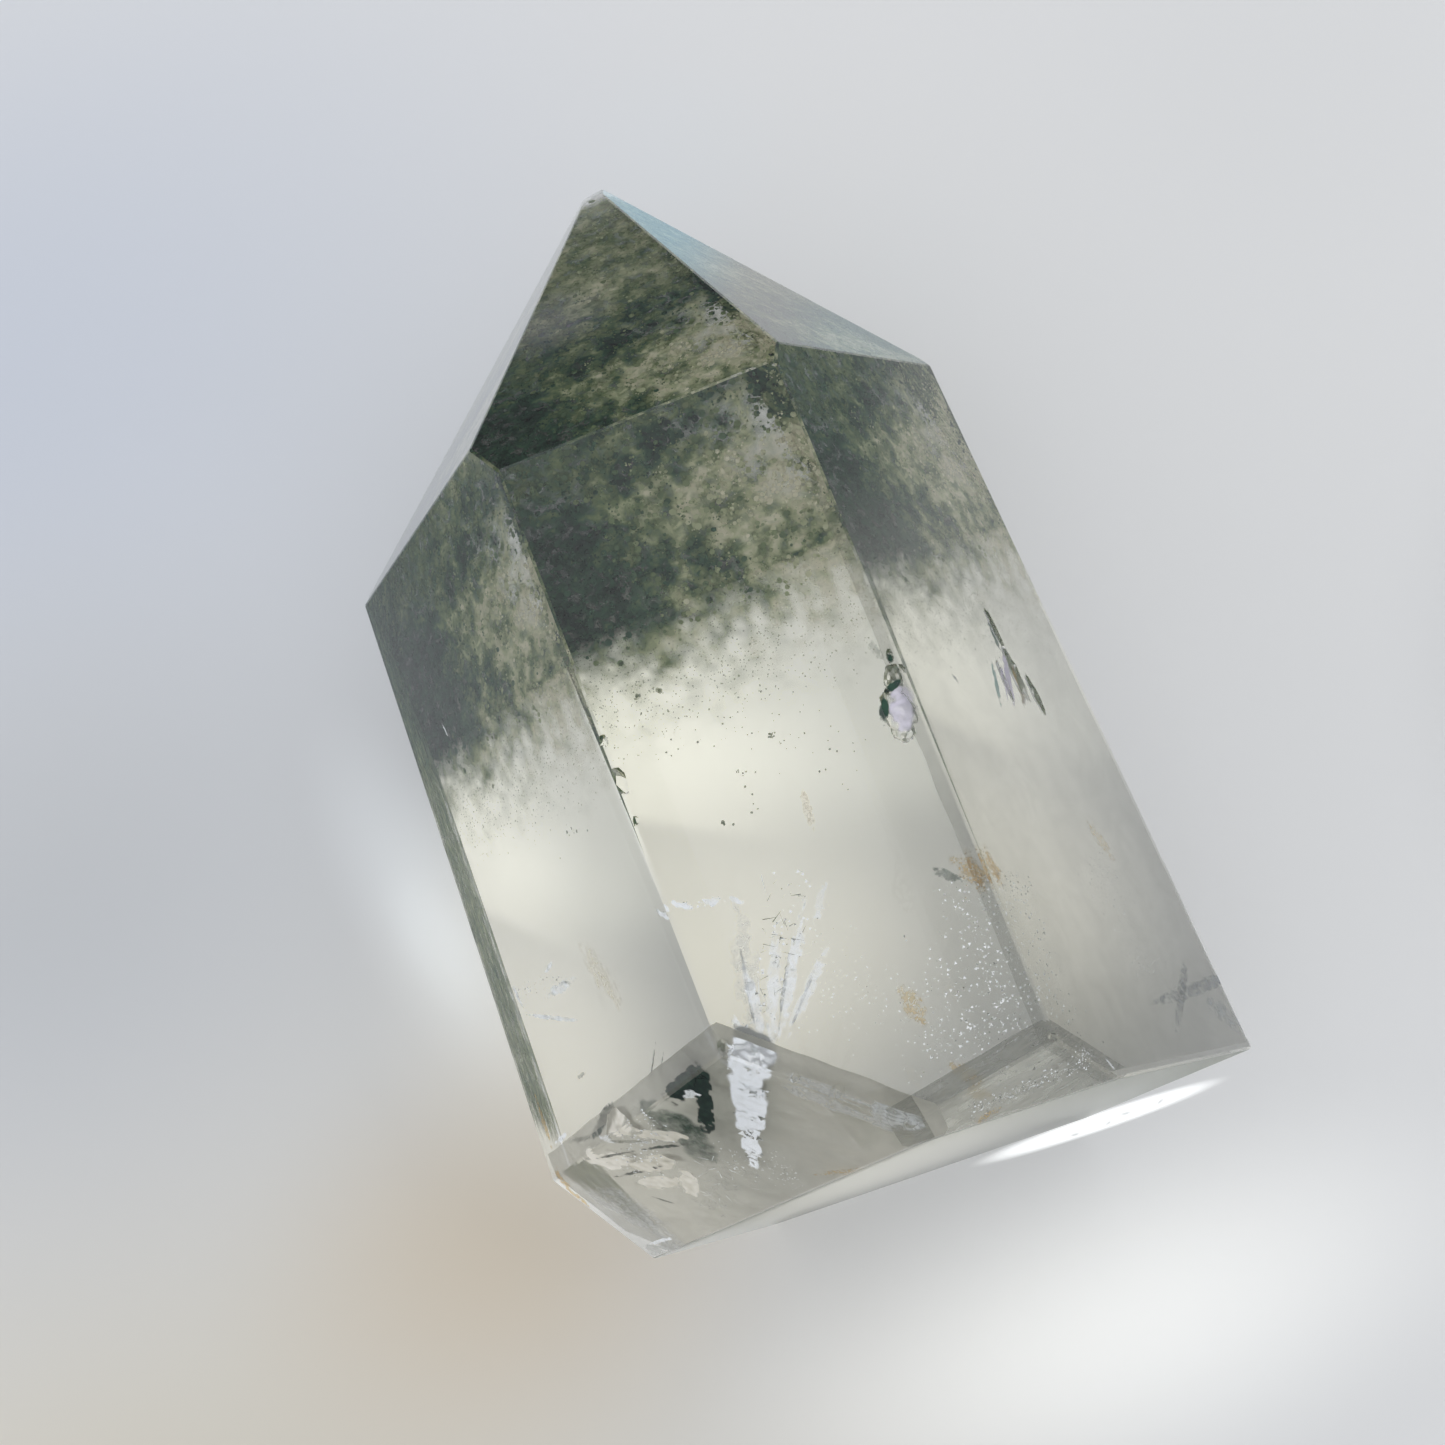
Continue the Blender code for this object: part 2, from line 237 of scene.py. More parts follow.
    Wisp("teal", (16.3, -12.3, 35.9), (15.5, -15.7, 37.4), 0.28, 0.6, 1.2, 0.4, "front_right"),
    Wisp("green", (17.5, -9.1, 33.9), (17.4, -11.3, 33.9), 0.3, 0.5, 1.4, 0.35, "front_right"),
    Wisp("blue", (12.3, -13.5, 40.9), (12.5, -14.3, 40.6), 0.18, 0.4, 0.8, 0.2, "front_right"),
)

# Thin films in the pits and in the cut corner: dark and pale colour, how metallic.
FILMS = {
    "lilac": ("B9B0C6", "E6E2EE", 0.0),
    "tan": ("85795C", "B5AA8C", 0.0),
    "teal": ("78A096", "B5CCC4", 0.0),
    "cream": ("B2AC92", "FDF9EE", 1.0),
}

# Thin veils close under a face: the face, the veil's middle and its reach in mm. The dark one under the
# right face is painted shade.
VEILS = (
    ("front_right", (17.0, -24.1, 33.2), 30.0),
    ("cut_left", (-9.1, -35.2, 33.9), 20.0),
    ("cut_right", (6.6, -37.7, 45.0), 12.0),
)

# Grains of each kind strewn between two points, in mm: the face that they show through, the
# points, the half width at each, how deep the cloud is, their number, their least and greatest
# size, and the way the flat ones face.
Strewn = namedtuple("Strewn", "face start end widths deep count sizes facing")

STREWN = {
    "crack": (
        Strewn("cut_left", (-6.3, -31.5, 46.6), (-8.8, -35.8, 35.0), (1.1, 0.3), 0.4, 150,
               (0.1, 0.4), "f1up"),
        Strewn("front", (0.4, -22.6, 44.0), (-6.0, -30.6, 44.2), (1.5, 0.8), 1.6, 90, (0.05, 0.16), "up"),
        Strewn("front", (-7.2, -22.0, 45.0), (-4.2, -22.9, 45.0), (0.3, 0.3), 0.3, 20, (0.06, 0.16), "up"),
        Strewn("front", (10.2, -26.6, 44.0), (7.2, -36.6, 44.3), (2.8, 4.2), 2.6, 800, (0.03, 0.13), "up"),
        Strewn("front", (-2.0, -27.0, 44.0), (6.0, -36.0, 44.3), (3.0, 3.0), 2.4, 300, (0.03, 0.08), "up"),
        Strewn("front_right", (16.0, -25.6, 31.0), (16.4, -34.0, 30.4), (3.0, 2.4), 1.6, 260,
               (0.03, 0.1), "rup"),
        Strewn("front_left", (-20.2, -18.4, 22.0), (-15.4, -20.6, 29.2), (0.7, 0.7), 0.4, 50,
               (0.04, 0.15), "lup"),
        Strewn("cut_left", (-13.4, -31.4, 36.4), (-17.4, -33.4, 26.6), (1.2, 1.6), 0.3, 160,
               (0.05, 0.16), "f1up"),
        Strewn("cut_left", (-10.4, -35.0, 34.0), (-6.4, -37.2, 36.0), (2.0, 2.0), 0.4, 200,
               (0.03, 0.1), "f1up"),
        Strewn("cut_right", (3.6, -38.2, 46.2), (11.2, -37.7, 45.0), (0.6, 0.6), 0.3, 260,
               (0.03, 0.1), "f2up"),
    ),
    "needle": (
        Strewn("cut_left", (-10.4, -35.0, 34.0), (-13.4, -37.0, 26.0), (2.0, 1.6), 0.4, 260,
               (0.4, 1.1), "f1up"),
        Strewn("cut_right", (4.6, -38.3, 46.0), (10.6, -37.8, 45.0), (0.5, 0.5), 0.3, 60,
               (0.3, 0.7), "f2up"),
        Strewn("front", (-1.0, -23.0, 44.0), (-5.0, -29.6, 44.2), (1.4, 0.8), 1.4, 45, (0.4, 1.2), "up"),
    ),
    "dark": (
        Strewn("front", (-6.0, -8.4, 44.6), (6.0, -17.4, 44.9), (4.0, 3.0), 3.0, 60, (0.04, 0.1), "up"),
        Strewn("front", (1.1, -14.4, 44.8), (1.4, -14.5, 44.8), (0.2, 0.2), 0.2, 9, (0.08, 0.16), "up"),
        Strewn("front", (-4.1, -9.3, 44.7), (-3.9, -9.3, 44.6), (0.1, 0.1), 0.2, 6, (0.1, 0.2), "up"),
        Strewn("front", (-5.5, -9.3, 44.7), (-5.2, -9.1, 44.7), (0.1, 0.1), 0.2, 6, (0.08, 0.18), "up"),
        Strewn("front", (-1.3, -15.7, 44.8), (-1.2, -18.4, 44.9), (0.4, 0.4), 0.6, 12, (0.05, 0.12), "up"),
        Strewn("front", (-3.9, -18.1, 44.9), (-2.4, -18.8, 44.9), (0.1, 0.1), 0.2, 5, (0.08, 0.15), "up"),
        Strewn("front_left", (-11.4, -12.9, 36.2), (-9.3, -14.4, 39.7), (0.2, 0.1), 0.2, 5,
               (0.08, 0.15), "lup"),
        Strewn("front_left", (-15.8, -5.8, 28.7), (-15.7, -5.9, 28.8), (0.1, 0.1), 0.1, 4,
               (0.1, 0.18), "lup"),
    ),
    "iron": (
        Strewn("front", (7.6, -26.0, 45.0), (10.0, -26.6, 45.1), (0.6, 0.6), 0.8, 60, (0.03, 0.06), "up"),
        Strewn("cut_right", (3.4, -38.7, 45.6), (10.4, -38.1, 44.8), (0.2, 0.2), 0.2, 60,
               (0.04, 0.1), "up"),
    ),
}

# A face of the stone counts as flat and large from this area on, in square metres.
LARGE_FACE = 12.0 * MM * MM
# How much of the sharp point, where the small break is, stays clear.
CLEAR_TIP = 1.6 * MM
# Chance points are thrown this far to each side over a face's plane, and kept where the stone
# goes on this deep under them and this far around that place, in metres.
THROW = 0.05
UNDER = 0.0004
AROUND = 0.0003
# Depths below a flat face, in mm, between which the surface stops counting as that face: for
# the pits, which are dull from there on, and for the sawn base, which is dull up to there.
PIT_DEPTHS = (0.06, 0.12)
SAWN_DEPTHS = (0.02, 0.06)
# How deep under a face the crust, and the shallowest grain of the garden, lie.
CRUST_DEPTH = 0.3 * MM
GRAIN_DEPTH = 0.3 * MM
# How far a veil, a patch and a loose fleck stay inside the other faces.
VEIL_MARGIN = 0.5 * MM
PATCH_MARGIN = 0.08 * MM
FLECK_MARGIN = 0.12 * MM
# Patches fuller than this have square ends, so that a row of them reads as one.
SQUARE_FROM = 2.0
# Faces that a mesh of grains may have.
GRAIN_FACES = 180000
# How far the cards lie under the stone, apart from each other so that neither shades the other.
MIRRORED_CARD_DROP = 0.02 * MM
CARD_DROP = 0.06 * MM
# The direction from which the room's light is measured, almost straight up, and the share of
# the light that is left below the floor's edge.
BRIGHT_WAY = (0.12, 0.08, 0.99)
DIM_ROOM = 0.16


def linear(colour):
    """An sRGB hex colour, such as 5D6B4F, as linear red, green, blue and alpha."""
    parts = [int(colour[i:i + 2], 16) / 255 for i in (0, 2, 4)]
    return tuple(c / 12.92 if c <= 0.04045 else ((c + 0.055) / 1.055) ** 2.4 for c in parts) + (1.0,)


def add_node(tree, kind, sockets=None, **settings):
    """Add one node. A socket's value may be another node's output, which is then linked."""
    made = tree.nodes.new(kind)
    for name, value in settings.items():
        setattr(made, name, value)
    for name, value in (sockets or {}).items():
        if isinstance(value, bpy.types.NodeSocket):
            tree.links.new(value, made.inputs[name])
        else:
            made.inputs[name].default_value = value
    return made


def ramp(tree, factor, *stops):
    """A colour ramp on a factor, from stops of place and hex colour."""
    made = add_node(tree, "ShaderNodeValToRGB", {"Fac": factor})
    for i, (place, colour) in enumerate(stops):
        element = made.color_ramp.elements[i] if i < 2 else made.color_ramp.elements.new(place)
        element.position = place
        element.color = linear(colour)
    return made


def new_material(name):
    """An empty node material with its output, and the tree to fill."""
    material = bpy.data.materials.new(name)
    material.use_nodes = True
    tree = material.node_tree
    tree.nodes.clear()
    output = add_node(tree, "ShaderNodeOutputMaterial")
    return material, tree, output


def as_mesh(name, shaping):
    """Turn a finished bmesh into a mesh."""
    mesh = bpy.data.meshes.new(name)
    shaping.to_mesh(mesh)
    shaping.free()
    return mesh


def new_object(name, mesh, material):
    """Put a mesh of one material into the scene."""
    mesh.materials.clear()
    mesh.materials.append(material)
    thing = bpy.data.objects.new(name, mesh)
    bpy.context.scene.collection.objects.link(thing)
    return thing


def new_piece(name, mesh, material, body="root"):
    """Turn a bmesh or a mesh into a piece that rides on the stone."""
    ready = as_mesh(name, mesh) if isinstance(mesh, bmesh.types.BMesh) else mesh
    piece = new_object(name, ready, material)
    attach(piece, body)


class Interior:
    """The flat faces of the stone, read from the frame, to tell what lies inside it."""

    def __init__(self, stone):
        mesh = stone.data
        mesh.calc_loop_triangles()
        found = {}
        for triangle in mesh.loop_triangles:
            key = tuple(round(c, 2) for c in triangle.normal)
            middle = sum((mesh.vertices[i].co for i in triangle.vertices), Vector()) / 3
            area, normal, offset = found.get(key, (0.0, Vector(), 0.0))
            share = triangle.area
            found[key] = (area + share, normal + triangle.normal * share,
                          offset + triangle.normal.dot(middle) * share)
        large = [entry for entry in found.values() if entry[0] > LARGE_FACE]
        self.normals = np.array([(normal / area)[:] for area, normal, offset in large])
        self.offsets = np.array([offset / area for area, normal, offset in large])
        self.normals = np.vstack((self.normals, (0.0, 1.0, 0.0)))
        self.offsets = np.append(self.offsets, STONE_HIGH.y - CLEAR_TIP)

    def depth(self, points):
        """How far inside the nearest face each point lies, in metres, negative outside."""
        return (self.offsets - points @ self.normals.T).min(axis=1)

    def face_towards(self, direction):
        """The flat face that looks most nearly in a direction."""
        return int((self.normals @ np.array(direction)).argmax())

    def points_over(self, face, rng, count, rise):
        """Chance points over the inner side of a face, each raised by rise(points) metres."""
        normal = self.normals[face]
        across = np.cross(normal, (0.0, 1.0, 0.0))
        across /= np.linalg.norm(across)
        along = np.cross(across, normal)
        spread = rng.uniform(-THROW, THROW, (count, 2))
        points = normal * self.offsets[face] + spread[:, :1] * across + spread[:, 1:] * along
        points = points[self.depth(points - normal * UNDER) > AROUND]
        return points - normal * rise(points)[:, None]

    def laid(self, turn, place, size, cuts, margin):
        """A flat grid, turned, put in its place and cut to the stone's inside, as a bmesh."""
        mesh = bmesh.new()
        bmesh.ops.create_grid(mesh, x_segments=cuts, y_segments=cuts, size=1.0)
        bmesh.ops.scale(mesh, verts=mesh.verts[:], vec=(size[0], size[1], 1.0))
        bmesh.ops.transform(mesh, verts=mesh.verts[:], matrix=Matrix.Translation(place) @ turn.to_4x4())
        for side, offset in zip(self.normals, self.offsets):
            everything = mesh.verts[:] + mesh.edges[:] + mesh.faces[:]
            bmesh.ops.bisect_plane(mesh, geom=everything, plane_co=Vector(side) * (offset - margin),
                                   plane_no=Vector(side), clear_outer=True)
        return mesh

    def sheet(self, face, middle, deep, reach, cuts):
        """A flat sheet under a face, cut to the stone's inside; middle is its place along the stone."""
        normal = Vector(self.normals[face])
        place = normal * (self.offsets[face] - deep)
        along = Vector((0.0, 1.0, 0.0)) - normal * normal.y
        place = place + along * (middle - place.y) / along.y
        turn = normal.to_track_quat("Z", "Y").to_matrix()
        return self.laid(turn, place, (reach, reach), cuts, 0.6 * deep)


def raised(name, mesh, normal, rise, values):
    """Finish a laid sheet: raised off its face by rise(points), its values kept as attributes."""
    points = np.array([vert.co[:] for vert in mesh.verts])
    for vert, lift in zip(mesh.verts, rise(points)):
        vert.co -= Vector(normal) * lift
    bmesh.ops.recalc_face_normals(mesh, faces=mesh.faces[:])
    data = as_mesh(name, mesh)
    for label, measured in values(points).items():
        data.attributes.new(label, "FLOAT", "POINT").data.foreach_set("value", measured.astype(np.float32))
    for polygon in data.polygons:
        polygon.use_smooth = True
    return data


def clumps(points, scale, seed):
    """Smooth noise between -1 and 1 at each point; scale is the size of a clump in metres."""
    shift = Vector((seed * 7.13, seed * 3.71, seed * 5.29))
    return np.array([noise.noise(Vector(p) / scale + shift) for p in points])


def soft_step(value, low, high):
    """Rises smoothly from 0 at low to 1 at high."""
    t = np.clip((value - low) / (high - low), 0.0, 1.0)
    return t * t * (3.0 - 2.0 * t)


def thin_grain(name, height, sides=3):
    """One scale: a grain with a point on it, one unit in radius, flat where its height is low."""
    mesh = bmesh.new()
    bmesh.ops.create_cone(mesh, cap_ends=True, cap_tris=True, segments=sides, radius1=0.94, radius2=0.0,
                          depth=height)
    return as_mesh(name, mesh)


def needle_grain():
    """A thin three-sided needle, one unit long."""
    mesh = bmesh.new()
    bmesh.ops.create_cone(mesh, cap_ends=True, cap_tris=True, segments=3, radius1=0.035, radius2=0.008,
                          depth=1.0)
    return as_mesh("needle", mesh)


def coarse_grain(seed):
    """One crumb of many scales: a rough lump of twenty faces, one unit in radius."""
    draw = random.Random(seed)
    mesh = bmesh.new()
    bmesh.ops.create_icosphere(mesh, subdivisions=1, radius=1.0)
    for vert in mesh.verts:
        vert.co *= draw.uniform(0.55, 1.1)
    return as_mesh("coarse_grain", mesh)


def scatter(name, cloud, grain, seed, lie=0.0):
    """Put a turned and sized copy of the grain at each point of the cloud, all in one mesh.

    The cloud is points, sizes, tints and the way each scale faces; lie is how flat they lie.
    """
    points, sizes, tints, facings = (np.asarray(part, np.float32) for part in cloud)
    seeds = bpy.data.meshes.new(name)
    seeds.vertices.add(len(points))
    seeds.vertices.foreach_set("co", points.ravel())
    for label, kind, key, values in (
            ("grain_size", "FLOAT", "value", sizes), ("tint", "FLOAT", "value", tints),
            ("facing", "FLOAT_VECTOR", "vector", facings.ravel())):
        seeds.attributes.new(label, kind, "POINT").data.foreach_set(key, values)
    holder = bpy.data.objects.new(name + "_points", seeds)
    sample = bpy.data.objects.new(name + "_grain", grain)
    for thing in (holder, sample):
        bpy.context.scene.collection.objects.link(thing)
    tree = bpy.data.node_groups.new(name, "GeometryNodeTree")
    tree.interface.new_socket("Geometry", in_out="INPUT", socket_type="NodeSocketGeometry")
    tree.interface.new_socket("Geometry", in_out="OUTPUT", socket_type="NodeSocketGeometry")
    given = add_node(tree, "NodeGroupInput")
    shape = add_node(tree, "GeometryNodeObjectInfo", {"Object": sample})
    turn = add_node(tree, "FunctionNodeRandomValue", {"Seed": seed}, data_type="FLOAT_VECTOR")
    turn.inputs["Max"].default_value = (math.tau, math.tau, math.tau)
    facing = add_node(tree, "GeometryNodeInputNamedAttribute", {"Name": "facing"}, data_type="FLOAT_VECTOR")
    laid = add_node(tree, "FunctionNodeAlignRotationToVector", {
        "Rotation": turn.outputs[0], "Factor": lie, "Vector": facing.outputs[0]}, axis="Z")
    read = add_node(tree, "GeometryNodeInputNamedAttribute", {"Name": "grain_size"}, data_type="FLOAT")
    place = add_node(tree, "GeometryNodeInstanceOnPoints", {
        "Points": given.outputs[0], "Instance": shape.outputs["Geometry"],
        "Rotation": laid.outputs[0], "Scale": read.outputs[0]})
    real = add_node(tree, "GeometryNodeRealizeInstances", {"Geometry": place.outputs[0]})
    add_node(tree, "NodeGroupOutput", {0: real.outputs[0]})
    modifier = holder.modifiers.new(name, "NODES")
    modifier.node_group = tree
    bpy.context.view_layer.update()
    ready = holder.evaluated_get(bpy.context.evaluated_depsgraph_get())
    joined = bpy.data.meshes.new_from_object(ready)
    joined.name = name
    for thing in (holder, sample):
        bpy.data.objects.remove(thing)
    bpy.data.node_groups.remove(tree)
    return joined


def under_face(tree, place, inside, direction, near, far):
    """0 on a flat face of the stone and 1 where the surface lies below it, from near to far mm."""
    face = inside.face_towards(direction)
    along = add_node(tree, "ShaderNodeVectorMath", {0: place, 1: inside.normals[face].tolist()},
                     operation="DOT_PRODUCT")
    reach = inside.offsets[face]
    return add_node(tree, "ShaderNodeMapRange", {
        "Value": along.outputs["Value"], "From Min": reach - near * MM,
        "From Max": reach - far * MM}).outputs[0]


def unpolished(tree, place, inside):
    """1 in the pits and on the sawn base, which no polishing wheel reached, and 0 elsewhere."""
    pits = add_node(tree, "ShaderNodeMath", {
        0: under_face(tree, place, inside, FACING["front"], *PIT_DEPTHS),
        1: under_face(tree, place, inside, FACING["front_right"], *PIT_DEPTHS)},
        operation="MULTIPLY").outputs[0]
    total = add_node(tree, "ShaderNodeMath", {
        0: 1.0, 1: under_face(tree, place, inside, FACING["base"], *SAWN_DEPTHS)},
        operation="SUBTRACT").outputs[0]
    for middle, reach in PITS:
        away = add_node(tree, "ShaderNodeVectorMath", {0: place, 1: [c * MM for c in middle]},
                        operation="DISTANCE")
        near = add_node(tree, "ShaderNodeMath", {0: away.outputs["Value"], 1: reach * MM},
                        operation="LESS_THAN")
        here = add_node(tree, "ShaderNodeMath", {0: near.outputs[0], 1: pits}, operation="MULTIPLY")
        total = add_node(tree, "ShaderNodeMath", {0: total, 1: here.outputs[0]},
                         operation="MAXIMUM").outputs[0]
    return total


def quartz_material(settings, inside):
    """Rock crystal, wheel polished: clear, hard gloss, with a faint grey-green cast.

    The pits and the sawn base are dull, so they scatter what shows through them.
    """
    material, tree, output = new_material("polished_rock_crystal")
    place = add_node(tree, "ShaderNodeTexCoord").outputs["Object"]
    gloss = add_node(tree, "ShaderNodeMapRange", {
        "Value": unpolished(tree, place, inside), "To Min": settings.roughness,
        "To Max": settings.dullness})
    shader = add_node(tree, "ShaderNodeBsdfPrincipled", {
        "Base Color": (1.0, 1.0, 1.0, 1.0), "Roughness": gloss.outputs[0], "IOR": settings.ior,
        "Transmission Weight": 1.0})
    body = add_node(tree, "ShaderNodeVolumeAbsorption", {
        "Color": linear(settings.cast), "Density": settings.cast_density})
    tree.links.new(shader.outputs[0], output.inputs["Surface"])
    tree.links.new(body.outputs[0], output.inputs["Volume"])
    return material


def chlorite_material(name, settings, alpha=1.0):
    """Chlorite dust: soft, dull scales, from blackish green through olive to cream.

    Thin flecks of it let light pass, which the alpha stands for.
    """
    material, tree, output = new_material(name)
    tint = add_node(tree, "ShaderNodeAttribute", attribute_name="tint")
    colours = chlorite_colours(tree, tint.outputs["Fac"], settings)
    shader = add_node(tree, "ShaderNodeBsdfPrincipled", {
        "Base Color": colours.outputs["Color"], "Roughness": 0.7, "Alpha": alpha})
    tree.links.new(shader.outputs[0], output.inputs["Surface"])
    return material


def chlorite_colours(tree, tint, settings):
    """From blackish green through olive to cream."""
    return ramp(tree, tint, (0.0, settings.dark), (1.0, settings.cream),
                (0.25, settings.teal), (0.5, settings.middle), (0.72, settings.light))


def film_values(tree, tuft_mm, detail, distortion, cover_range):
    """What each point of a film's mesh says: how pale it is and how fully it covers, as sockets.

    Noise thins and thickens the cover in tufts. The range is the noise's low and high value and
    what the cover is multiplied by there. The noise itself is the third socket.
    """
    place = add_node(tree, "ShaderNodeTexCoord").outputs["Object"]
    tint = add_node(tree, "ShaderNodeAttribute", attribute_name="tint").outputs["Fac"]
    cover = add_node(tree, "ShaderNodeAttribute", attribute_name="cover").outputs["Fac"]
    tufts = add_node(tree, "ShaderNodeTexNoise", {
        "Vector": place, "Scale": 1 / (tuft_mm * MM), "Detail": detail,
        "Distortion": distortion}).outputs["Fac"]
    low, high, least, most = cover_range
    thin = add_node(tree, "ShaderNodeMapRange", {
        "Value": tufts, "From Min": low, "From Max": high, "To Min": least, "To Max": most})
    alpha = add_node(tree, "ShaderNodeMath", {0: cover, 1: thin.outputs[0]}, operation="MULTIPLY",
                     use_clamp=True)
    return tint, alpha.outputs[0], tufts


def crust_material(settings):
    """Chlorite grown close together: a soft mossy crust that thins out to nothing."""
    material, tree, output = new_material("chlorite_crust")
    tint, alpha, tufts = film_values(tree, settings.mottle_mm, 3.0, 0.6, (0.3, 0.7, 0.75, 1.25))
    shade = add_node(tree, "ShaderNodeMapRange", {
        "Value": tufts, "From Min": 0.3, "From Max": 0.7, "To Min": -0.2, "To Max": 0.2})
    pale = add_node(tree, "ShaderNodeMath", {0: tint, 1: shade.outputs[0]}, operation="ADD")
    colours = chlorite_colours(tree, pale.outputs[0], settings)
    shader = add_node(tree, "ShaderNodeBsdfPrincipled", {
        "Base Color": colours.outputs["Color"], "Roughness": 0.75, "Alpha": alpha})
    tree.links.new(shader.outputs[0], output.inputs["Surface"])
    return material


def stain_material(name, stops, rag_mm, rags=0.75, roughness=0.7, metallic=0.0, passing=0.0):
    """A thin film in a crack, ragged and see-through where it thins out.

    As iron stain it is rusty and lets ochre light pass, as a healed crack it is a pale veil
    of tiny bubbles, and as an open crack its air mirrors the light like silver foil.
    """
    material, tree, output = new_material(name)
    tint, alpha, _ = film_values(tree, rag_mm, 4.0, 0.8, (0.35, 0.62, 1.0 - rags, 1.0 + 0.2 * rags))
    shader = add_node(tree, "ShaderNodeBsdfPrincipled", {
        "Base Color": ramp(tree, tint, *stops).outputs["Color"], "Roughness": roughness,
        "Metallic": metallic, "Alpha": alpha})
    if passing:
        shader.inputs["IOR"].default_value = 1.0
        shader.inputs["Transmission Weight"].default_value = passing
    tree.links.new(shader.outputs[0], output.inputs["Surface"])
    return material


def crack_material():
    """An air-filled crack, too thin to see edge on: it mirrors nearly all light, like silver foil."""
    material, tree, output = new_material("air_filled_crack")
    shader = add_node(tree, "ShaderNodeBsdfPrincipled", {
        "Base Color": linear("F4F6F6"), "Metallic": 1.0, "Roughness": 0.22})
    tree.links.new(shader.outputs[0], output.inputs["Surface"])
    return material


def soft_pool(tree, place, pool):
    """A soft-edged oval on the floor: 1 inside it and 0 outside."""
    shift = add_node(tree, "ShaderNodeMapping", {
        "Vector": place, "Location": (pool.x * MM, pool.y * MM, 0.0),
        "Rotation": (0.0, 0.0, math.radians(pool.turn)),
        "Scale": (pool.width * MM, pool.height * MM, 1.0)}, vector_type="TEXTURE")
    reach = add_node(tree, "ShaderNodeVectorMath", {0: shift.outputs[0]}, operation="LENGTH")
    edge = add_node(tree, "ShaderNodeMapRange", {
        "Value": reach.outputs["Value"], "From Min": 1.0, "From Max": 1.0 - pool.softness},
        interpolation_type="SMOOTHSTEP")
    return edge.outputs["Result"]


def white_card_material(name, settings, tints, pools):
    """Matt white card with painted light: tints and shade painted into its colour, and soft pools of glow
    where the stone gathers light, less the painted shadow gaps.
    """
    material, tree, output = new_material(name)
    place = add_node(tree, "ShaderNodeTexCoord").outputs["Object"]
    colour = add_node(tree, "ShaderNodeRGB").outputs[0]
    colour.default_value = linear(settings.floor_colour)
    for pool in tints:
        colour = add_node(tree, "ShaderNodeMix", {
            0: soft_pool(tree, place, pool), 6: colour, 7: linear(pool.colour)},
            data_type="RGBA").outputs[2]
    glow = add_node(tree, "ShaderNodeRGB").outputs[0]
    glow.default_value = (0.0, 0.0, 0.0, 1.0)
    for pool in pools + GAPS:
        glow = add_node(tree, "ShaderNodeMix", {
            0: soft_pool(tree, place, pool), 6: glow, 7: linear(pool.colour)}, data_type="RGBA",
            blend_type="SUBTRACT" if pool in GAPS else "ADD", clamp_result=pool in GAPS).outputs[2]
    across = add_node(tree, "ShaderNodeVectorMath", {0: place, 1: BAND_ACROSS}, operation="DOT_PRODUCT")
    for band in BANDS:
        edge = add_node(tree, "ShaderNodeMapRange", {
            "Value": across.outputs["Value"], "From Min": band.start * MM, "From Max": band.full * MM},
            interpolation_type="SMOOTHSTEP")
        share = add_node(tree, "ShaderNodeMath", {0: edge.outputs[0], 1: soft_pool(tree, place, band.pool)},
                         operation="MULTIPLY")
        glow = add_node(tree, "ShaderNodeMix", {
            0: share.outputs[0], 6: glow, 7: linear(band.pool.colour)},
            data_type="RGBA", blend_type="ADD").outputs[2]
    shader = add_node(tree, "ShaderNodeBsdfPrincipled", {
        "Base Color": colour, "Roughness": 0.6, "Emission Color": glow, "Emission Strength": 1.0})
    tree.links.new(shader.outputs[0], output.inputs["Surface"])
    # The pools are seen, but are too soft to be worth a light's own samples.
    material.cycles.emission_sampling = "NONE"
    return material


class StageSettings(PropertyGroup):
    """The studio: floor, lights and camera."""

    floor_colour: StringProperty(name="Floor colour", description="sRGB hex colour of the floor card",
                                 default="E9E9E8")
    card_reach: FloatProperty(name="Card reach", description="How far the stone's faces mirror the floor",
                              default=0.245, unit="LENGTH")
    floor_reach: FloatProperty(name="Floor reach", description="How far the floor goes", default=2.5,
                               unit="LENGTH")
    sky_colour: StringProperty(name="Sky colour", description="sRGB hex colour of the room's light",
                               default="F2F4F8")
    sky_strength: FloatProperty(name="Sky strength", description="Strength of the room's light",
                                default=0.96)
    eye: FloatVectorProperty(name="Eye", description="Where the camera stands", size=3,
                             subtype="TRANSLATION", default=(-0.84 * MM, -42.78 * MM, 141.69 * MM))
    aim: FloatVectorProperty(name="Aim", description="What the camera looks at", size=3,
                             subtype="TRANSLATION", default=(-1.23 * MM, -5.11 * MM, 22.0 * MM))
    roll: FloatProperty(name="Roll", description="Turn of the camera about its view", subtype="ANGLE",
                        default=math.radians(-21.86))
    lens: FloatProperty(name="Lens", description="Focal length in mm for a 36 mm wide frame", default=42.37)


class QuartzSettings(PropertyGroup):
    """The clear stone."""

    ior: FloatProperty(name="Index", description="Refractive index of quartz", default=1.544)
    roughness: FloatProperty(name="Roughness", description="Roughness of the polish", default=0.01)
    dullness: FloatProperty(name="Dullness", description="Roughness of the pits and the sawn base",
                            default=0.45)
    cast: StringProperty(name="Cast", description="sRGB hex colour that deep stone takes", default="F4F4E4")
    cast_density: FloatProperty(name="Cast density", description="Absorption per metre", default=6.0)


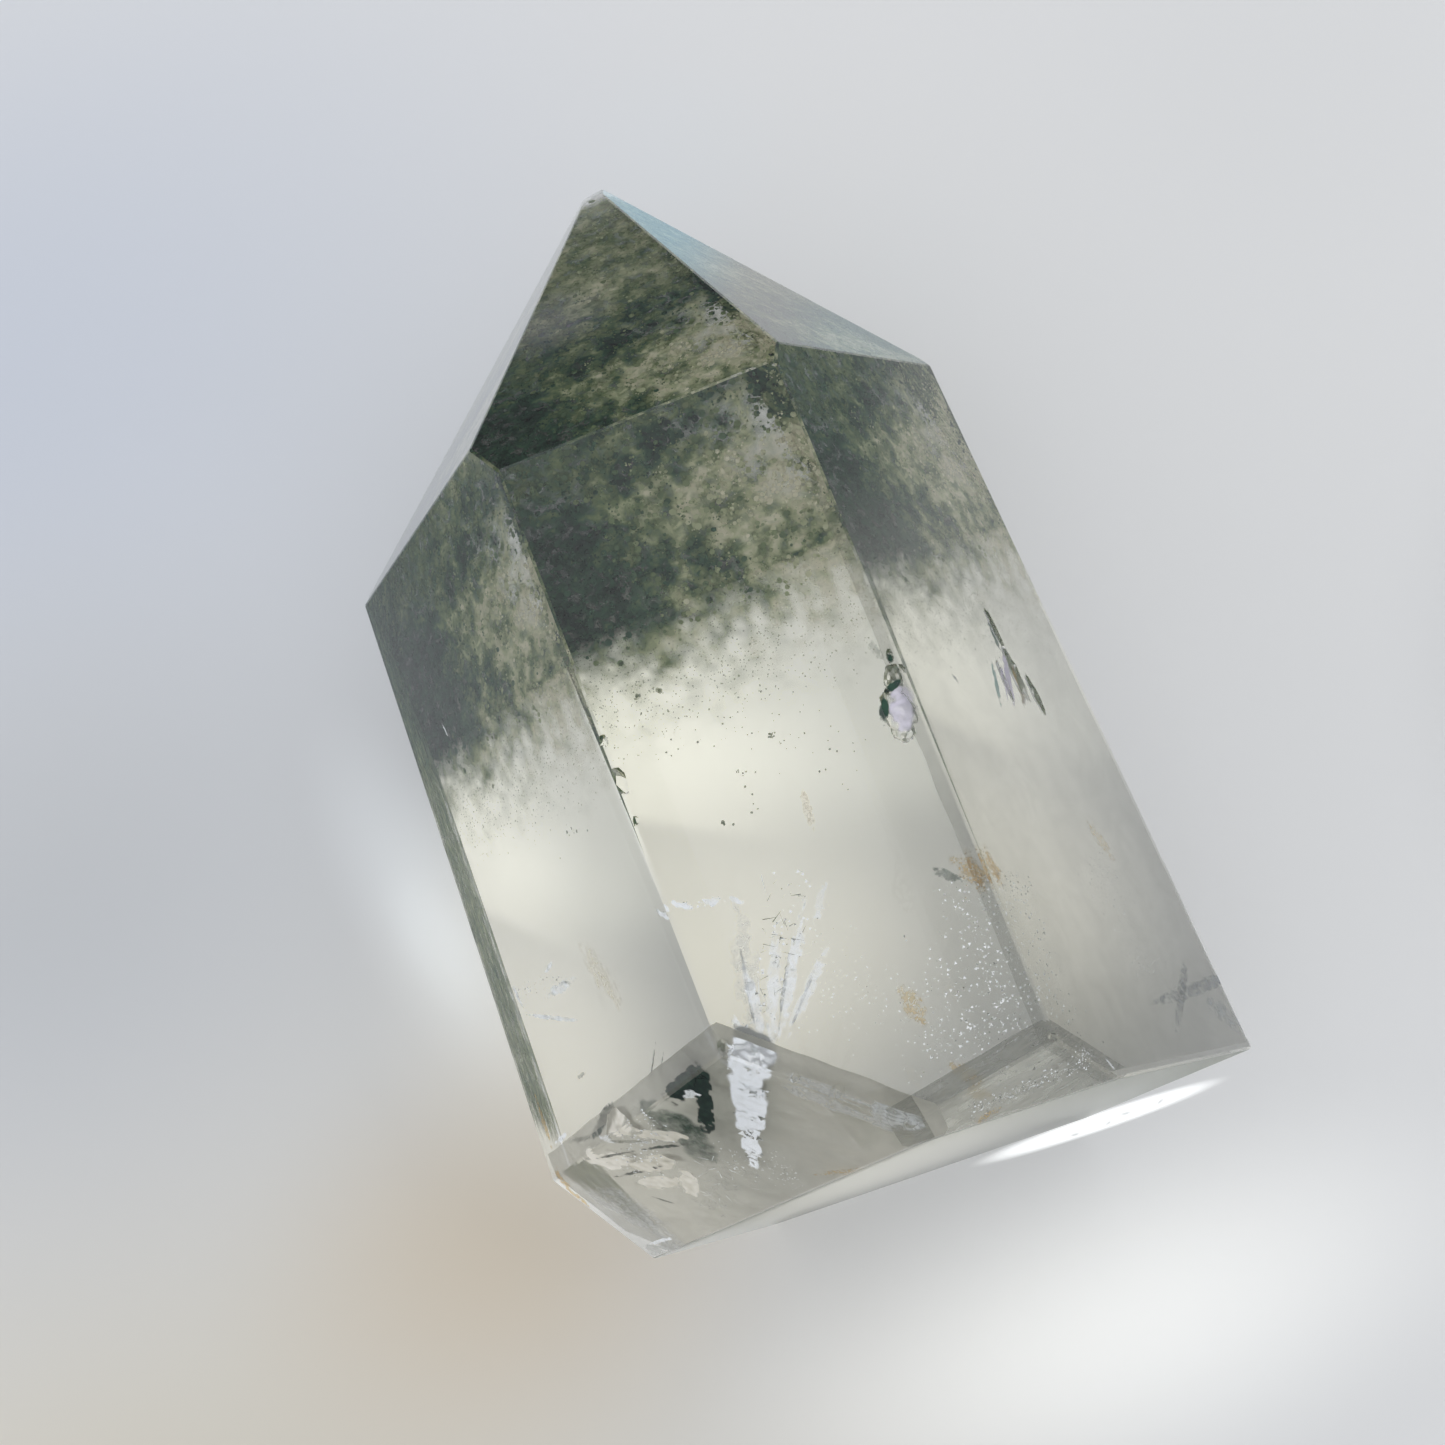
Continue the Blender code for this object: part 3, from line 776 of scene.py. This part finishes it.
class ChloriteSettings(PropertyGroup):
    """The green garden: a film of chlorite on the back faces, thickest under the tip."""

    scales: IntProperty(name="Scales", description="Number of flat scales on the crust", default=4000)
    dust: IntProperty(name="Dust", description="Number of fine grains over the crust", default=9000)
    crumbs: IntProperty(name="Crumbs", description="Number of coarse grains over the crust", default=1400)
    haze: IntProperty(name="Haze", description="Number of fine grains drifting below the crust's end",
                      default=1600)
    crust_cuts: IntProperty(name="Crust cuts", description="How finely the crust is divided", default=260)
    dark: StringProperty(name="Dark", description="sRGB hex colour of the darkest scales", default="1B352F")
    teal: StringProperty(name="Teal", description="sRGB hex colour of the dark green scales",
                         default="375F4A")
    middle: StringProperty(name="Middle", description="sRGB hex colour of most scales", default="7F9068")
    light: StringProperty(name="Light", description="sRGB hex colour of the pale green scales",
                          default="C2C8A4")
    cream: StringProperty(name="Cream", description="sRGB hex colour of the palest scales",
                          default="F0ECD6")
    mottle_mm: FloatProperty(name="Mottle", description="Width of a tuft of the crust in mm", default=0.95)
    seed: IntProperty(name="Seed", description="Seed of the garden", default=11)


class InclusionSettings(PropertyGroup):
    """Iron stain, healed cracks and veils."""

    rust: StringProperty(name="Rust", description="sRGB hex colour of the darkest iron stain",
                         default="B07A2C")
    ochre: StringProperty(name="Ochre", description="sRGB hex colour of most iron stain", default="EDB95C")
    sand: StringProperty(name="Sand", description="sRGB hex colour of thin iron stain", default="F4DDA0")
    # The darkest veil colour also serves as painted shade under the right face.
    smoke: StringProperty(name="Smoke", description="sRGB hex colour of the darkest veil", default="6C7062")
    milk: StringProperty(name="Milk", description="sRGB hex colour of the palest veil", default="C9CCC4")
    haze: StringProperty(name="Haze", description="sRGB hex colour of the palest veil under a face",
                         default="ECE9DA")
    frost: StringProperty(name="Frost", description="sRGB hex colour of white frost", default="F2F5F7")
    slate: StringProperty(name="Slate", description="sRGB hex colour of the dark blue-grey patch",
                          default="4A5A66")
    mist: StringProperty(name="Mist", description="sRGB hex colour of the pale blue-grey patch",
                         default="B8C2CC")
    veil_cuts: IntProperty(name="Veil cuts", description="How finely a veil is divided", default=120)
    wisp_cuts: IntProperty(name="Wisp cuts", description="How finely a patch of stain is divided",
                           default=32)
    seed: IntProperty(name="Seed", description="Seed of the inclusions", default=5)


class GardenQuartzSettings(PropertyGroup):
    """All the settings of the stone and its studio."""

    stage: PointerProperty(type=StageSettings)
    quartz: PointerProperty(type=QuartzSettings)
    chlorite: PointerProperty(type=ChloriteSettings)
    inclusions: PointerProperty(type=InclusionSettings)


class Garden:
    """Where the chlorite sits in the stone, how thick it lies and how pale it is."""

    def __init__(self, inside):
        self.inside = inside
        self.faces = {label: inside.face_towards(way) for label, (way, _, _) in GARDEN_FACES.items()}

    def gather(self, rng, count, thickness, rise):
        """Points over the back faces, kept by chance where it is thick, their facings and tints."""
        found = []
        while sum(len(spots) for spots, facing, tint in found) < count:
            for label, face in self.faces.items():
                spots = self.inside.points_over(face, rng, 12000, rise)
                spots = spots[self.inside.depth(spots) > GRAIN_DEPTH]
                spots = spots[rng.random(len(spots)) < thickness(label, spots)]
                facing = np.tile(self.inside.normals[face], (len(spots), 1))
                found.append((spots, facing, self.tints(label, spots, rng)))
        points, facings, tints = (np.concatenate(part) for part in zip(*found))
        order = rng.permutation(len(points))[:count]
        return points[order], facings[order], tints[order]

    def hills(self, points):
        """How high the film's top lies at each point, in metres."""
        y = points[:, 1] / MM
        swell = 0.5 + 0.5 * clumps(points, 4.5 * MM, 21)
        return (0.5 + 2.6 * swell * soft_step(y, 1.0, 10.0)) * MM

    def cover(self, face, points):
        """How fully the garden hides what is behind it, between 0 and 1."""
        x, y = (points[:, :2] / MM).T
        wobble = 1.1 * clumps(points, 4 * MM, 1) + 0.8 * clumps(points, 1.6 * MM, 2)
        tip = 1.0 - soft_step(y, 36.5, 38.5)
        if face == "back":
            right = soft_step(x, -4.0, 8.0)
            edge = 0.88 * soft_step(y + 1.2 * wobble, -0.8, 6.6) + 0.12 * soft_step(y + wobble, -7.0, 1.0)
            return (0.95 - 0.24 * right) * edge
        if face == "under_tip":
            thin = soft_step(x + wobble, 2.0, 11.0) * soft_step(y + wobble, 8.5, 12.0)
            return tip * (0.97 - 0.36 * thin * (1.0 - soft_step(y, 15.0, 20.0)))
        if face == "left":
            return tip * (0.75 + 0.25 * soft_step(y, 0.0, 10.0)) * soft_step(y + 0.5 * wobble, -28.5, -25.0)
        if face == "right":
            return tip * soft_step(y + wobble, 6.0, 14.0)
        return tip * np.ones(len(points))

    def dust_cover(self, face, points):
        """Cover of the loose grains, broken into soft tufts and thin at the garden's end."""
        tufts = clumps(points, 1.2 * MM, 3) + 0.6 * clumps(points, 2.6 * MM, 4)
        side = 0.2 if face in ("left", "right") else 1.0
        end = soft_step(points[:, 1] / MM, 2.0, 9.0)
        return side * end * self.cover(face, points) * (0.3 + 0.7 * soft_step(tufts, -0.5, 0.45))

    def crust_values(self, face, points, rng):
        """How fully the crust hides what is behind it and how pale it is, at each point."""
        full = self.cover(face, points)
        tufts = (clumps(points, 1.4 * MM, 3) + 0.6 * clumps(points, 0.7 * MM, 6)
                 + 0.5 * clumps(points, 3 * MM, 4))
        broken = full + 0.55 * tufts * 4.0 * full * (1.0 - full)
        return {"cover": np.clip(broken, 0.0, 1.0), "tint": self.tints(face, points, rng)}

    def haze_cover(self, face, points):
        """Cover of the last thin dust that drifts out past the film's end."""
        if face != "back":
            return np.zeros(len(points))
        y = points[:, 1] / MM
        drift = 1.6 * clumps(points, 3 * MM, 7)
        tufts = soft_step(clumps(points, 0.7 * MM, 8), -0.1, 0.5)
        return soft_step(y + drift, -9.0, 1.0) ** 2 * (0.25 + 0.75 * tufts)

    def tints(self, face, points, rng):
        """How pale the garden is: dark on the left and at its foot, cream on the right."""
        x, y = (points[:, :2] / MM).T
        warp = points + 0.5 * MM * clumps(points, 1.3 * MM, 12)[:, None]
        tufts = (clumps(warp, 1.5 * MM, 13) + 0.5 * clumps(warp, 0.8 * MM, 17)
                 + 0.4 * clumps(warp, 3 * MM, 14))
        drift = x + 2.0 * clumps(points, 5 * MM, 15)
        right = soft_step(drift, -2.0, 10.0)
        base = 0.09 + 0.36 * soft_step(drift, -7.5, 0.0) + 0.46 * right
        base = base + (0.34 - base) * soft_step(y, 13.0, 17.0) + 0.24 * soft_step(y, 19.0, 25.0)
        foot = soft_step(y + 0.6 * clumps(points, 2 * MM, 16), 9.6, 7.4) * soft_step(y, 5.6, 6.4)
        base = base + (np.minimum(base, 0.54) - base) * foot * soft_step(drift, -1.0, 4.0)
        base = base + (np.maximum(base, 0.55) - base) * soft_step(y, 6.5, 2.0)
        if face in ("left", "right"):
            base = 0.44 - 0.20 * soft_step(y, 0.0, 8.0)
        strength = (0.18 + 0.36 * soft_step(drift, -8.0, 1.0)) * (1.0 - 0.45 * soft_step(y, 15.0, 22.0))
        return np.clip(base + strength * tufts + rng.normal(0.0, 0.02, len(points)), 0.0, 1.0)


def strewn_points(flecks, rng):
    """Chance points along a strewn cloud's line, thinning out to its sides."""
    start, end = np.array(flecks.start), np.array(flecks.end)
    normal = np.array(FACING[flecks.face])
    side = np.cross(end - start, normal)
    side /= np.linalg.norm(side)
    along = rng.random((flecks.count, 1))
    width = flecks.widths[0] + (flecks.widths[1] - flecks.widths[0]) * along
    across = np.clip(rng.normal(0.0, 0.55, (flecks.count, 1)), -1.2, 1.2)
    deep = rng.uniform(-0.5, 0.5, (flecks.count, 1)) * flecks.deep
    return (start + (end - start) * along + side * width * across + normal * deep) * MM


class GARDEN_OT_stage(Operator):
    """Lay the floor, light the room and place the camera"""

    bl_idname = "garden_quartz.stage"
    bl_label = "Build Studio"

    def execute(self, context):
        settings = context.scene.garden_quartz.stage
        # Both cards carry painted light and shade; the one that only the polished faces see also carries
        # painted reflections.
        card = white_card_material("white_card", settings, PAINTED_ROOM_LIGHT, LIGHT_POOLS)
        in_mirror = white_card_material("white_card_in_mirror", settings, PAINTED_ROOM_LIGHT + PAINTED_REFLECTIONS,
                                        LIGHT_POOLS + PAINTED_SKY_REFLECTION)
        near = bmesh.new()
        bmesh.ops.create_circle(near, cap_ends=True, segments=96, radius=settings.card_reach)
        mirrored = near.copy()
        far = bmesh.new()
        bmesh.ops.create_circle(far, segments=96, radius=settings.card_reach)
        rim = bmesh.ops.extrude_edge_only(far, edges=far.edges[:])["geom"]
        outer = [item for item in rim if isinstance(item, bmesh.types.BMVert)]
        spread = settings.floor_reach / settings.card_reach
        bmesh.ops.scale(far, verts=outer, vec=(spread, spread, 1.0))
        bmesh.ops.recalc_face_normals(far, faces=far.faces[:])
        floors = {}
        for name, mesh, material in (("floor_near", near, card), ("floor_mirrored", mirrored, in_mirror),
                                     ("floor_far", far, card)):
            drop = MIRRORED_CARD_DROP if mesh is mirrored else CARD_DROP
            bmesh.ops.translate(mesh, verts=mesh.verts[:], vec=(0, 0, -drop))
            floors[name] = new_object(name, as_mesh(name, mesh), material)
        # What the polished faces mirror is painted: they see a card of their own, with painted reflections,
        # and the dim room beyond it.
        floors["floor_near"].visible_glossy = False
        floors["floor_far"].visible_glossy = False
        for ray in ("camera", "diffuse", "transmission", "volume_scatter", "shadow"):
            setattr(floors["floor_mirrored"], f"visible_{ray}", False)
        self.light_room(context, settings)
        self.place_camera(context, settings)
        context.scene.view_settings.view_transform = "Standard"
        # Light is thrown back and forth inside the stone many times.
        context.scene.cycles.max_bounces = 11
        context.scene.cycles.glossy_bounces = 6
        context.scene.cycles.transmission_bounces = 10
        context.scene.cycles.transparent_max_bounces = 12
        return {"FINISHED"}

    def light_room(self, context, settings):
        """A bright even room above and a dim one below the floor's edge."""
        world = bpy.data.worlds.new("soft_room")
        context.scene.world = world
        world.use_nodes = True
        tree = world.node_tree
        direction = add_node(tree, "ShaderNodeTexCoord").outputs["Generated"]
        up = add_node(tree, "ShaderNodeVectorMath", {0: direction, 1: BRIGHT_WAY},
                      operation="DOT_PRODUCT")
        height = add_node(tree, "ShaderNodeMapRange", {
            "Value": up.outputs["Value"], "From Min": -0.06, "From Max": 0.12, "To Min": DIM_ROOM},
            interpolation_type="SMOOTHSTEP")
        shade = tree.nodes["Background"]
        shade.inputs["Color"].default_value = linear(settings.sky_colour)
        light = add_node(tree, "ShaderNodeMath", {0: height.outputs[0], 1: settings.sky_strength},
                         operation="MULTIPLY")
        tree.links.new(light.outputs[0], shade.inputs["Strength"])

    def place_camera(self, context, settings):
        """The camera looks steeply down on the front face from the base's side."""
        data = bpy.data.cameras.new("camera")
        data.lens = settings.lens
        data.sensor_width = 36.0
        data.clip_start = 5 * MM
        data.clip_end = 10.0
        camera = bpy.data.objects.new("camera", data)
        eye, aim = Vector(settings.eye), Vector(settings.aim)
        turn = (aim - eye).to_track_quat("-Z", "Y").to_matrix() @ Matrix.Rotation(settings.roll, 3, "Z")
        camera.matrix_world = Matrix.Translation(eye) @ turn.to_4x4()
        context.scene.collection.objects.link(camera)
        context.scene.camera = camera


class GARDEN_OT_quartz(Operator):
    """Give the stone its polished clear quartz, dull in the pits and on the base"""

    bl_idname = "garden_quartz.quartz"
    bl_label = "Polish Quartz"

    def execute(self, context):
        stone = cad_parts["quartz_point"]
        stone.data.materials.clear()
        stone.data.materials.append(quartz_material(context.scene.garden_quartz.quartz, Interior(stone)))
        return {"FINISHED"}


class GARDEN_OT_chlorite(Operator):
    """Grow the green garden under the tip"""

    bl_idname = "garden_quartz.chlorite"
    bl_label = "Grow Chlorite"

    def execute(self, context):
        settings = context.scene.garden_quartz.chlorite
        rng = np.random.default_rng(settings.seed)
        garden = Garden(Interior(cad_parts["quartz_point"]))
        dust = chlorite_material("chlorite_dust", settings)
        thin_dust = chlorite_material("thin_chlorite_dust", settings, 0.42)
        scale, grain, crumb = thin_grain("scale", 0.3, 7), thin_grain("grain", 1.33), coarse_grain(5)

        def low(points):
            return (0.35 + 0.5 * rng.random(len(points))) * MM

        def through(points):
            return 0.4 * MM + garden.hills(points) * rng.random(len(points)) ** 1.3

        def drifting(points):
            return (0.4 + 4.0 * rng.random(len(points)) ** 2) * MM

        crust = crust_material(settings)
        for label, (_, middle, reach) in GARDEN_FACES.items():
            face = garden.faces[label]
            sheet = garden.inside.sheet(face, middle * MM, CRUST_DEPTH, reach * MM, settings.crust_cuts)
            data = raised(f"garden_crust_{label}", sheet, garden.inside.normals[face],
                          lambda points: np.minimum(0.3 * garden.hills(points),
                                                    0.4 * np.maximum(garden.inside.depth(points), 0.0)),
                          lambda points: garden.crust_values(label, points, rng))
            new_piece(data.name, data, crust)
        layers = (
            ("garden_scales", garden.dust_cover, low, settings.scales, scale, 0.85, 0.14, 0.34),
            ("garden_dust", garden.dust_cover, through, settings.dust, grain, 0.0, 0.07, 0.17),
            ("garden_crumbs", garden.dust_cover, through, settings.crumbs, crumb, 0.0, 0.12, 0.3),
            ("garden_haze", garden.haze_cover, drifting, settings.haze, grain, 0.0, 0.05, 0.11),
        )
        for name, thickness, rise, count, shape, lie, smallest, largest in layers:
            points, facings, tints = garden.gather(rng, count, thickness, rise)
            # Small grains are commoner than large ones, and none reaches out of the stone.
            sizes = (smallest + (largest - smallest) * rng.random(len(points)) ** 1.6) * MM
            sizes = np.minimum(sizes, 0.8 * garden.inside.depth(points))
            cloud = (points, sizes, tints, facings)
            share = GRAIN_FACES // len(shape.polygons)
            for number, start in enumerate(range(0, len(points), share), start=1):
                part = [values[start:start + share] for values in cloud]
                label = f"{name}_{number}"
                new_piece(label, scatter(label, part, shape, number, lie),
                          thin_dust if name == "garden_haze" else dust)
        return {"FINISHED"}


class GARDEN_OT_inclusions(Operator):
    """Add the iron stain, the healed cracks and the veils"""

    bl_idname = "garden_quartz.inclusions"
    bl_label = "Add Inclusions"

    def execute(self, context):
        settings = context.scene.garden_quartz.inclusions
        chlorite = context.scene.garden_quartz.chlorite
        inside = Interior(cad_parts["quartz_point"])
        rng = np.random.default_rng(settings.seed)
        kinds = {
            "iron": stain_material("iron_stain", (
                (0.0, settings.rust), (1.0, settings.sand), (0.5, settings.ochre)), 0.25, roughness=0.3,
                passing=0.7),
            "green": stain_material("chlorite_wisp", (
                (0.0, chlorite.dark), (1.0, chlorite.light), (0.5, chlorite.teal)), 0.5, 0.4),
            "blue": stain_material("blue_grey_wisp", ((0.0, settings.slate), (1.0, settings.mist)), 0.6),
            "milk": stain_material("milky_wisp", ((0.0, settings.milk), (1.0, settings.frost)), 0.6),
            "film": stain_material("air_film", (
                (0.0, settings.milk), (1.0, settings.frost)), 0.8, 0.5, roughness=0.2, metallic=1.0)}
        for kind, (dark, pale, metallic) in FILMS.items():
            kinds[kind] = stain_material(f"{kind}_film", ((0.0, dark), (1.0, pale)), 1.0, 0.3, roughness=0.3,
                                         metallic=metallic)
        veil = stain_material("healed_crack_veil", ((0.0, settings.smoke), (1.0, settings.haze)), 2.5, 0.12)
        self.veils(inside, veil, settings)
        patches = {kind: bmesh.new() for kind in kinds}
        for number, wisp in enumerate(WISPS, start=1):
            patch = self.lay(wisp, inside, settings.wisp_cuts, number)
            patches[wisp.kind].from_mesh(patch)
            bpy.data.meshes.remove(patch)
        for kind, mesh in patches.items():
            new_piece(f"{kind}_patches", mesh, kinds[kind])
        self.strew(inside, rng, {
            "crack": (thin_grain("crack", 0.04), crack_material(), 0.9),
            "needle": (needle_grain(), crack_material(), 0.0),
            "dark": (coarse_grain(6), chlorite_material("thin_chlorite_specks", chlorite, 0.5), 0.0),
            "iron": (coarse_grain(7), kinds["iron"], 0.0)})
        return {"FINISHED"}

    def veils(self, inside, material, settings):
        """Thin veils close under the two cut corners, and a dark smoky one under the right face that is
        painted shade.
        """

        # Under the right face the veil is painted shade: a dark sheet that dims the face where it sees
        # dimmer light.
        def right(points):
            y = points[:, 1] / MM
            streaks = clumps(points * (1.0, 0.3, 1.0), 2.5 * MM, 31)
            cover = 0.32 * soft_step(y, 3.0, -8.0) * (1.0 + 0.12 * streaks)
            return {"cover": cover, "tint": np.full(len(points), 0.12)}

        def left_cut(points):
            x = points[:, 0] / MM
            streaks = clumps(points, 1.5 * MM, 32)
            cover = 0.58 + 0.18 * soft_step(x, -14.0, -8.0) + 0.2 * soft_step(x, -8.0, -2.0) + 0.1 * streaks
            pale = 0.37 + 0.18 * soft_step(-x, 8.0, 18.0) + 0.4 * soft_step(x, -9.0, -2.0) + 0.08 * streaks
            return {"cover": np.clip(cover, 0.0, 1.0), "tint": pale}

        def right_cut(points):
            streaks = clumps(points * (0.15, 1.0, 1.0), 0.3 * MM, 33)
            return {"cover": np.clip(0.6 + 0.25 * streaks, 0.0, 1.0), "tint": 0.2 + 0.2 * streaks}

        values = {"front_right": right, "cut_left": left_cut, "cut_right": right_cut}
        for label, middle, reach in VEILS:
            normal = Vector(FACING[label]).normalized()
            sheet = inside.laid(normal.to_track_quat("Z", "Y").to_matrix(), Vector(middle) * MM,
                                (reach * MM, reach * MM), settings.veil_cuts, VEIL_MARGIN)
            data = raised(f"veil_{label}", sheet, normal,
                          lambda points: 0.1 * MM * clumps(points, 2 * MM, 34), values[label])
            new_piece(data.name, data, material)

    def lay(self, wisp, inside, cuts, seed):
        """The mesh of one ragged patch, laid along its line."""
        start, end = Vector(wisp.start) * MM, Vector(wisp.end) * MM
        normal = Vector(MIRRORING.get(wisp.facing) or FACING[wisp.facing]).normalized()
        line = (end - start) - normal * normal.dot(end - start)
        along = line.normalized()
        turn = Matrix((along.cross(normal), along, normal)).transposed()
        size = (wisp.width * MM, line.length / 2 + 0.45 * wisp.width * MM)
        middle = (start + end) / 2
        mesh = inside.laid(turn, middle, size, cuts, PATCH_MARGIN)

        def values(points):
            flat = (points - np.array(middle)) @ np.array(turn)
            # The patch is an oval at power 2 and nearly a rectangle at power 6.
            power = 6.0 if wisp.full > SQUARE_FROM else 2.0
            reach = (np.abs(flat[:, :2] / size) ** power).sum(axis=1) ** (1 / power)
            # The rags eat deepest at the rim and leave the middle whole.
            rags = clumps(points, wisp.rag * MM, seed) + 0.6 * clumps(points, 0.4 * wisp.rag * MM, seed + 5)
            cover = wisp.full * soft_step(1.0 - reach + 0.9 * rags * reach, 0.05, 0.5)
            cover = cover * soft_step(reach, 1.0, 0.8)
            tint = np.clip(wisp.tint + 0.35 * clumps(points, 0.4 * MM, seed + 9), 0.0, 1.0)
            return {"cover": cover, "tint": tint}

        return raised("patch", mesh, normal,
                      lambda points: 0.06 * MM * clumps(points, 0.6 * MM, seed), values)

    def strew(self, inside, rng, kinds):
        """Strew the loose grains and flakes of each kind, joined into one piece a kind."""
        for kind, (shape, material, lie) in kinds.items():
            clouds = []
            for flecks in STREWN[kind]:
                points = strewn_points(flecks, rng)
                points = points[inside.depth(points) > FLECK_MARGIN]
                low, high = flecks.sizes
                sizes = (low + (high - low) * rng.random(len(points)) ** 2.0) * MM
                sizes = np.minimum(sizes, (0.9 if lie == 0.0 else 1.5) * inside.depth(points))
                facings = np.array(MIRRORING[flecks.facing]) + rng.normal(0.0, 0.12, (len(points), 3))
                clouds.append((points, sizes, rng.uniform(0.3, 0.8, len(points)), facings))
            cloud = [np.concatenate(part) for part in zip(*clouds)]
            new_piece(f"inclusion_{kind}", scatter(f"inclusion_{kind}", cloud, shape, 3, lie), material)


class GARDEN_PT_panel(Panel):
    """Lists the steps in the 3D view's sidebar"""

    bl_idname = "GARDEN_PT_panel"
    bl_label = "Garden Quartz"
    bl_space_type = "VIEW_3D"
    bl_region_type = "UI"
    bl_category = "Quartz"

    def draw(self, context):
        for step in STEPS:
            self.layout.operator(step)


STEPS = tuple(f"garden_quartz.{step}" for step in ("stage", "quartz", "chlorite", "inclusions"))

CLASSES = (StageSettings, QuartzSettings, ChloriteSettings, InclusionSettings, GardenQuartzSettings,
           GARDEN_OT_stage, GARDEN_OT_quartz, GARDEN_OT_chlorite, GARDEN_OT_inclusions, GARDEN_PT_panel)


def register():
    """Make the settings, the steps and the panel known to Blender."""
    for item in CLASSES:
        bpy.utils.register_class(item)
    bpy.types.Scene.garden_quartz = PointerProperty(type=GardenQuartzSettings)


def unregister():
    """Take them away again."""
    del bpy.types.Scene.garden_quartz
    for item in reversed(CLASSES):
        bpy.utils.unregister_class(item)


def main():
    """Run every step in order."""
    register()
    for step in STEPS:
        group, name = step.split(".")
        getattr(getattr(bpy.ops, group), name)()


if __name__ == "__main__":
    main()
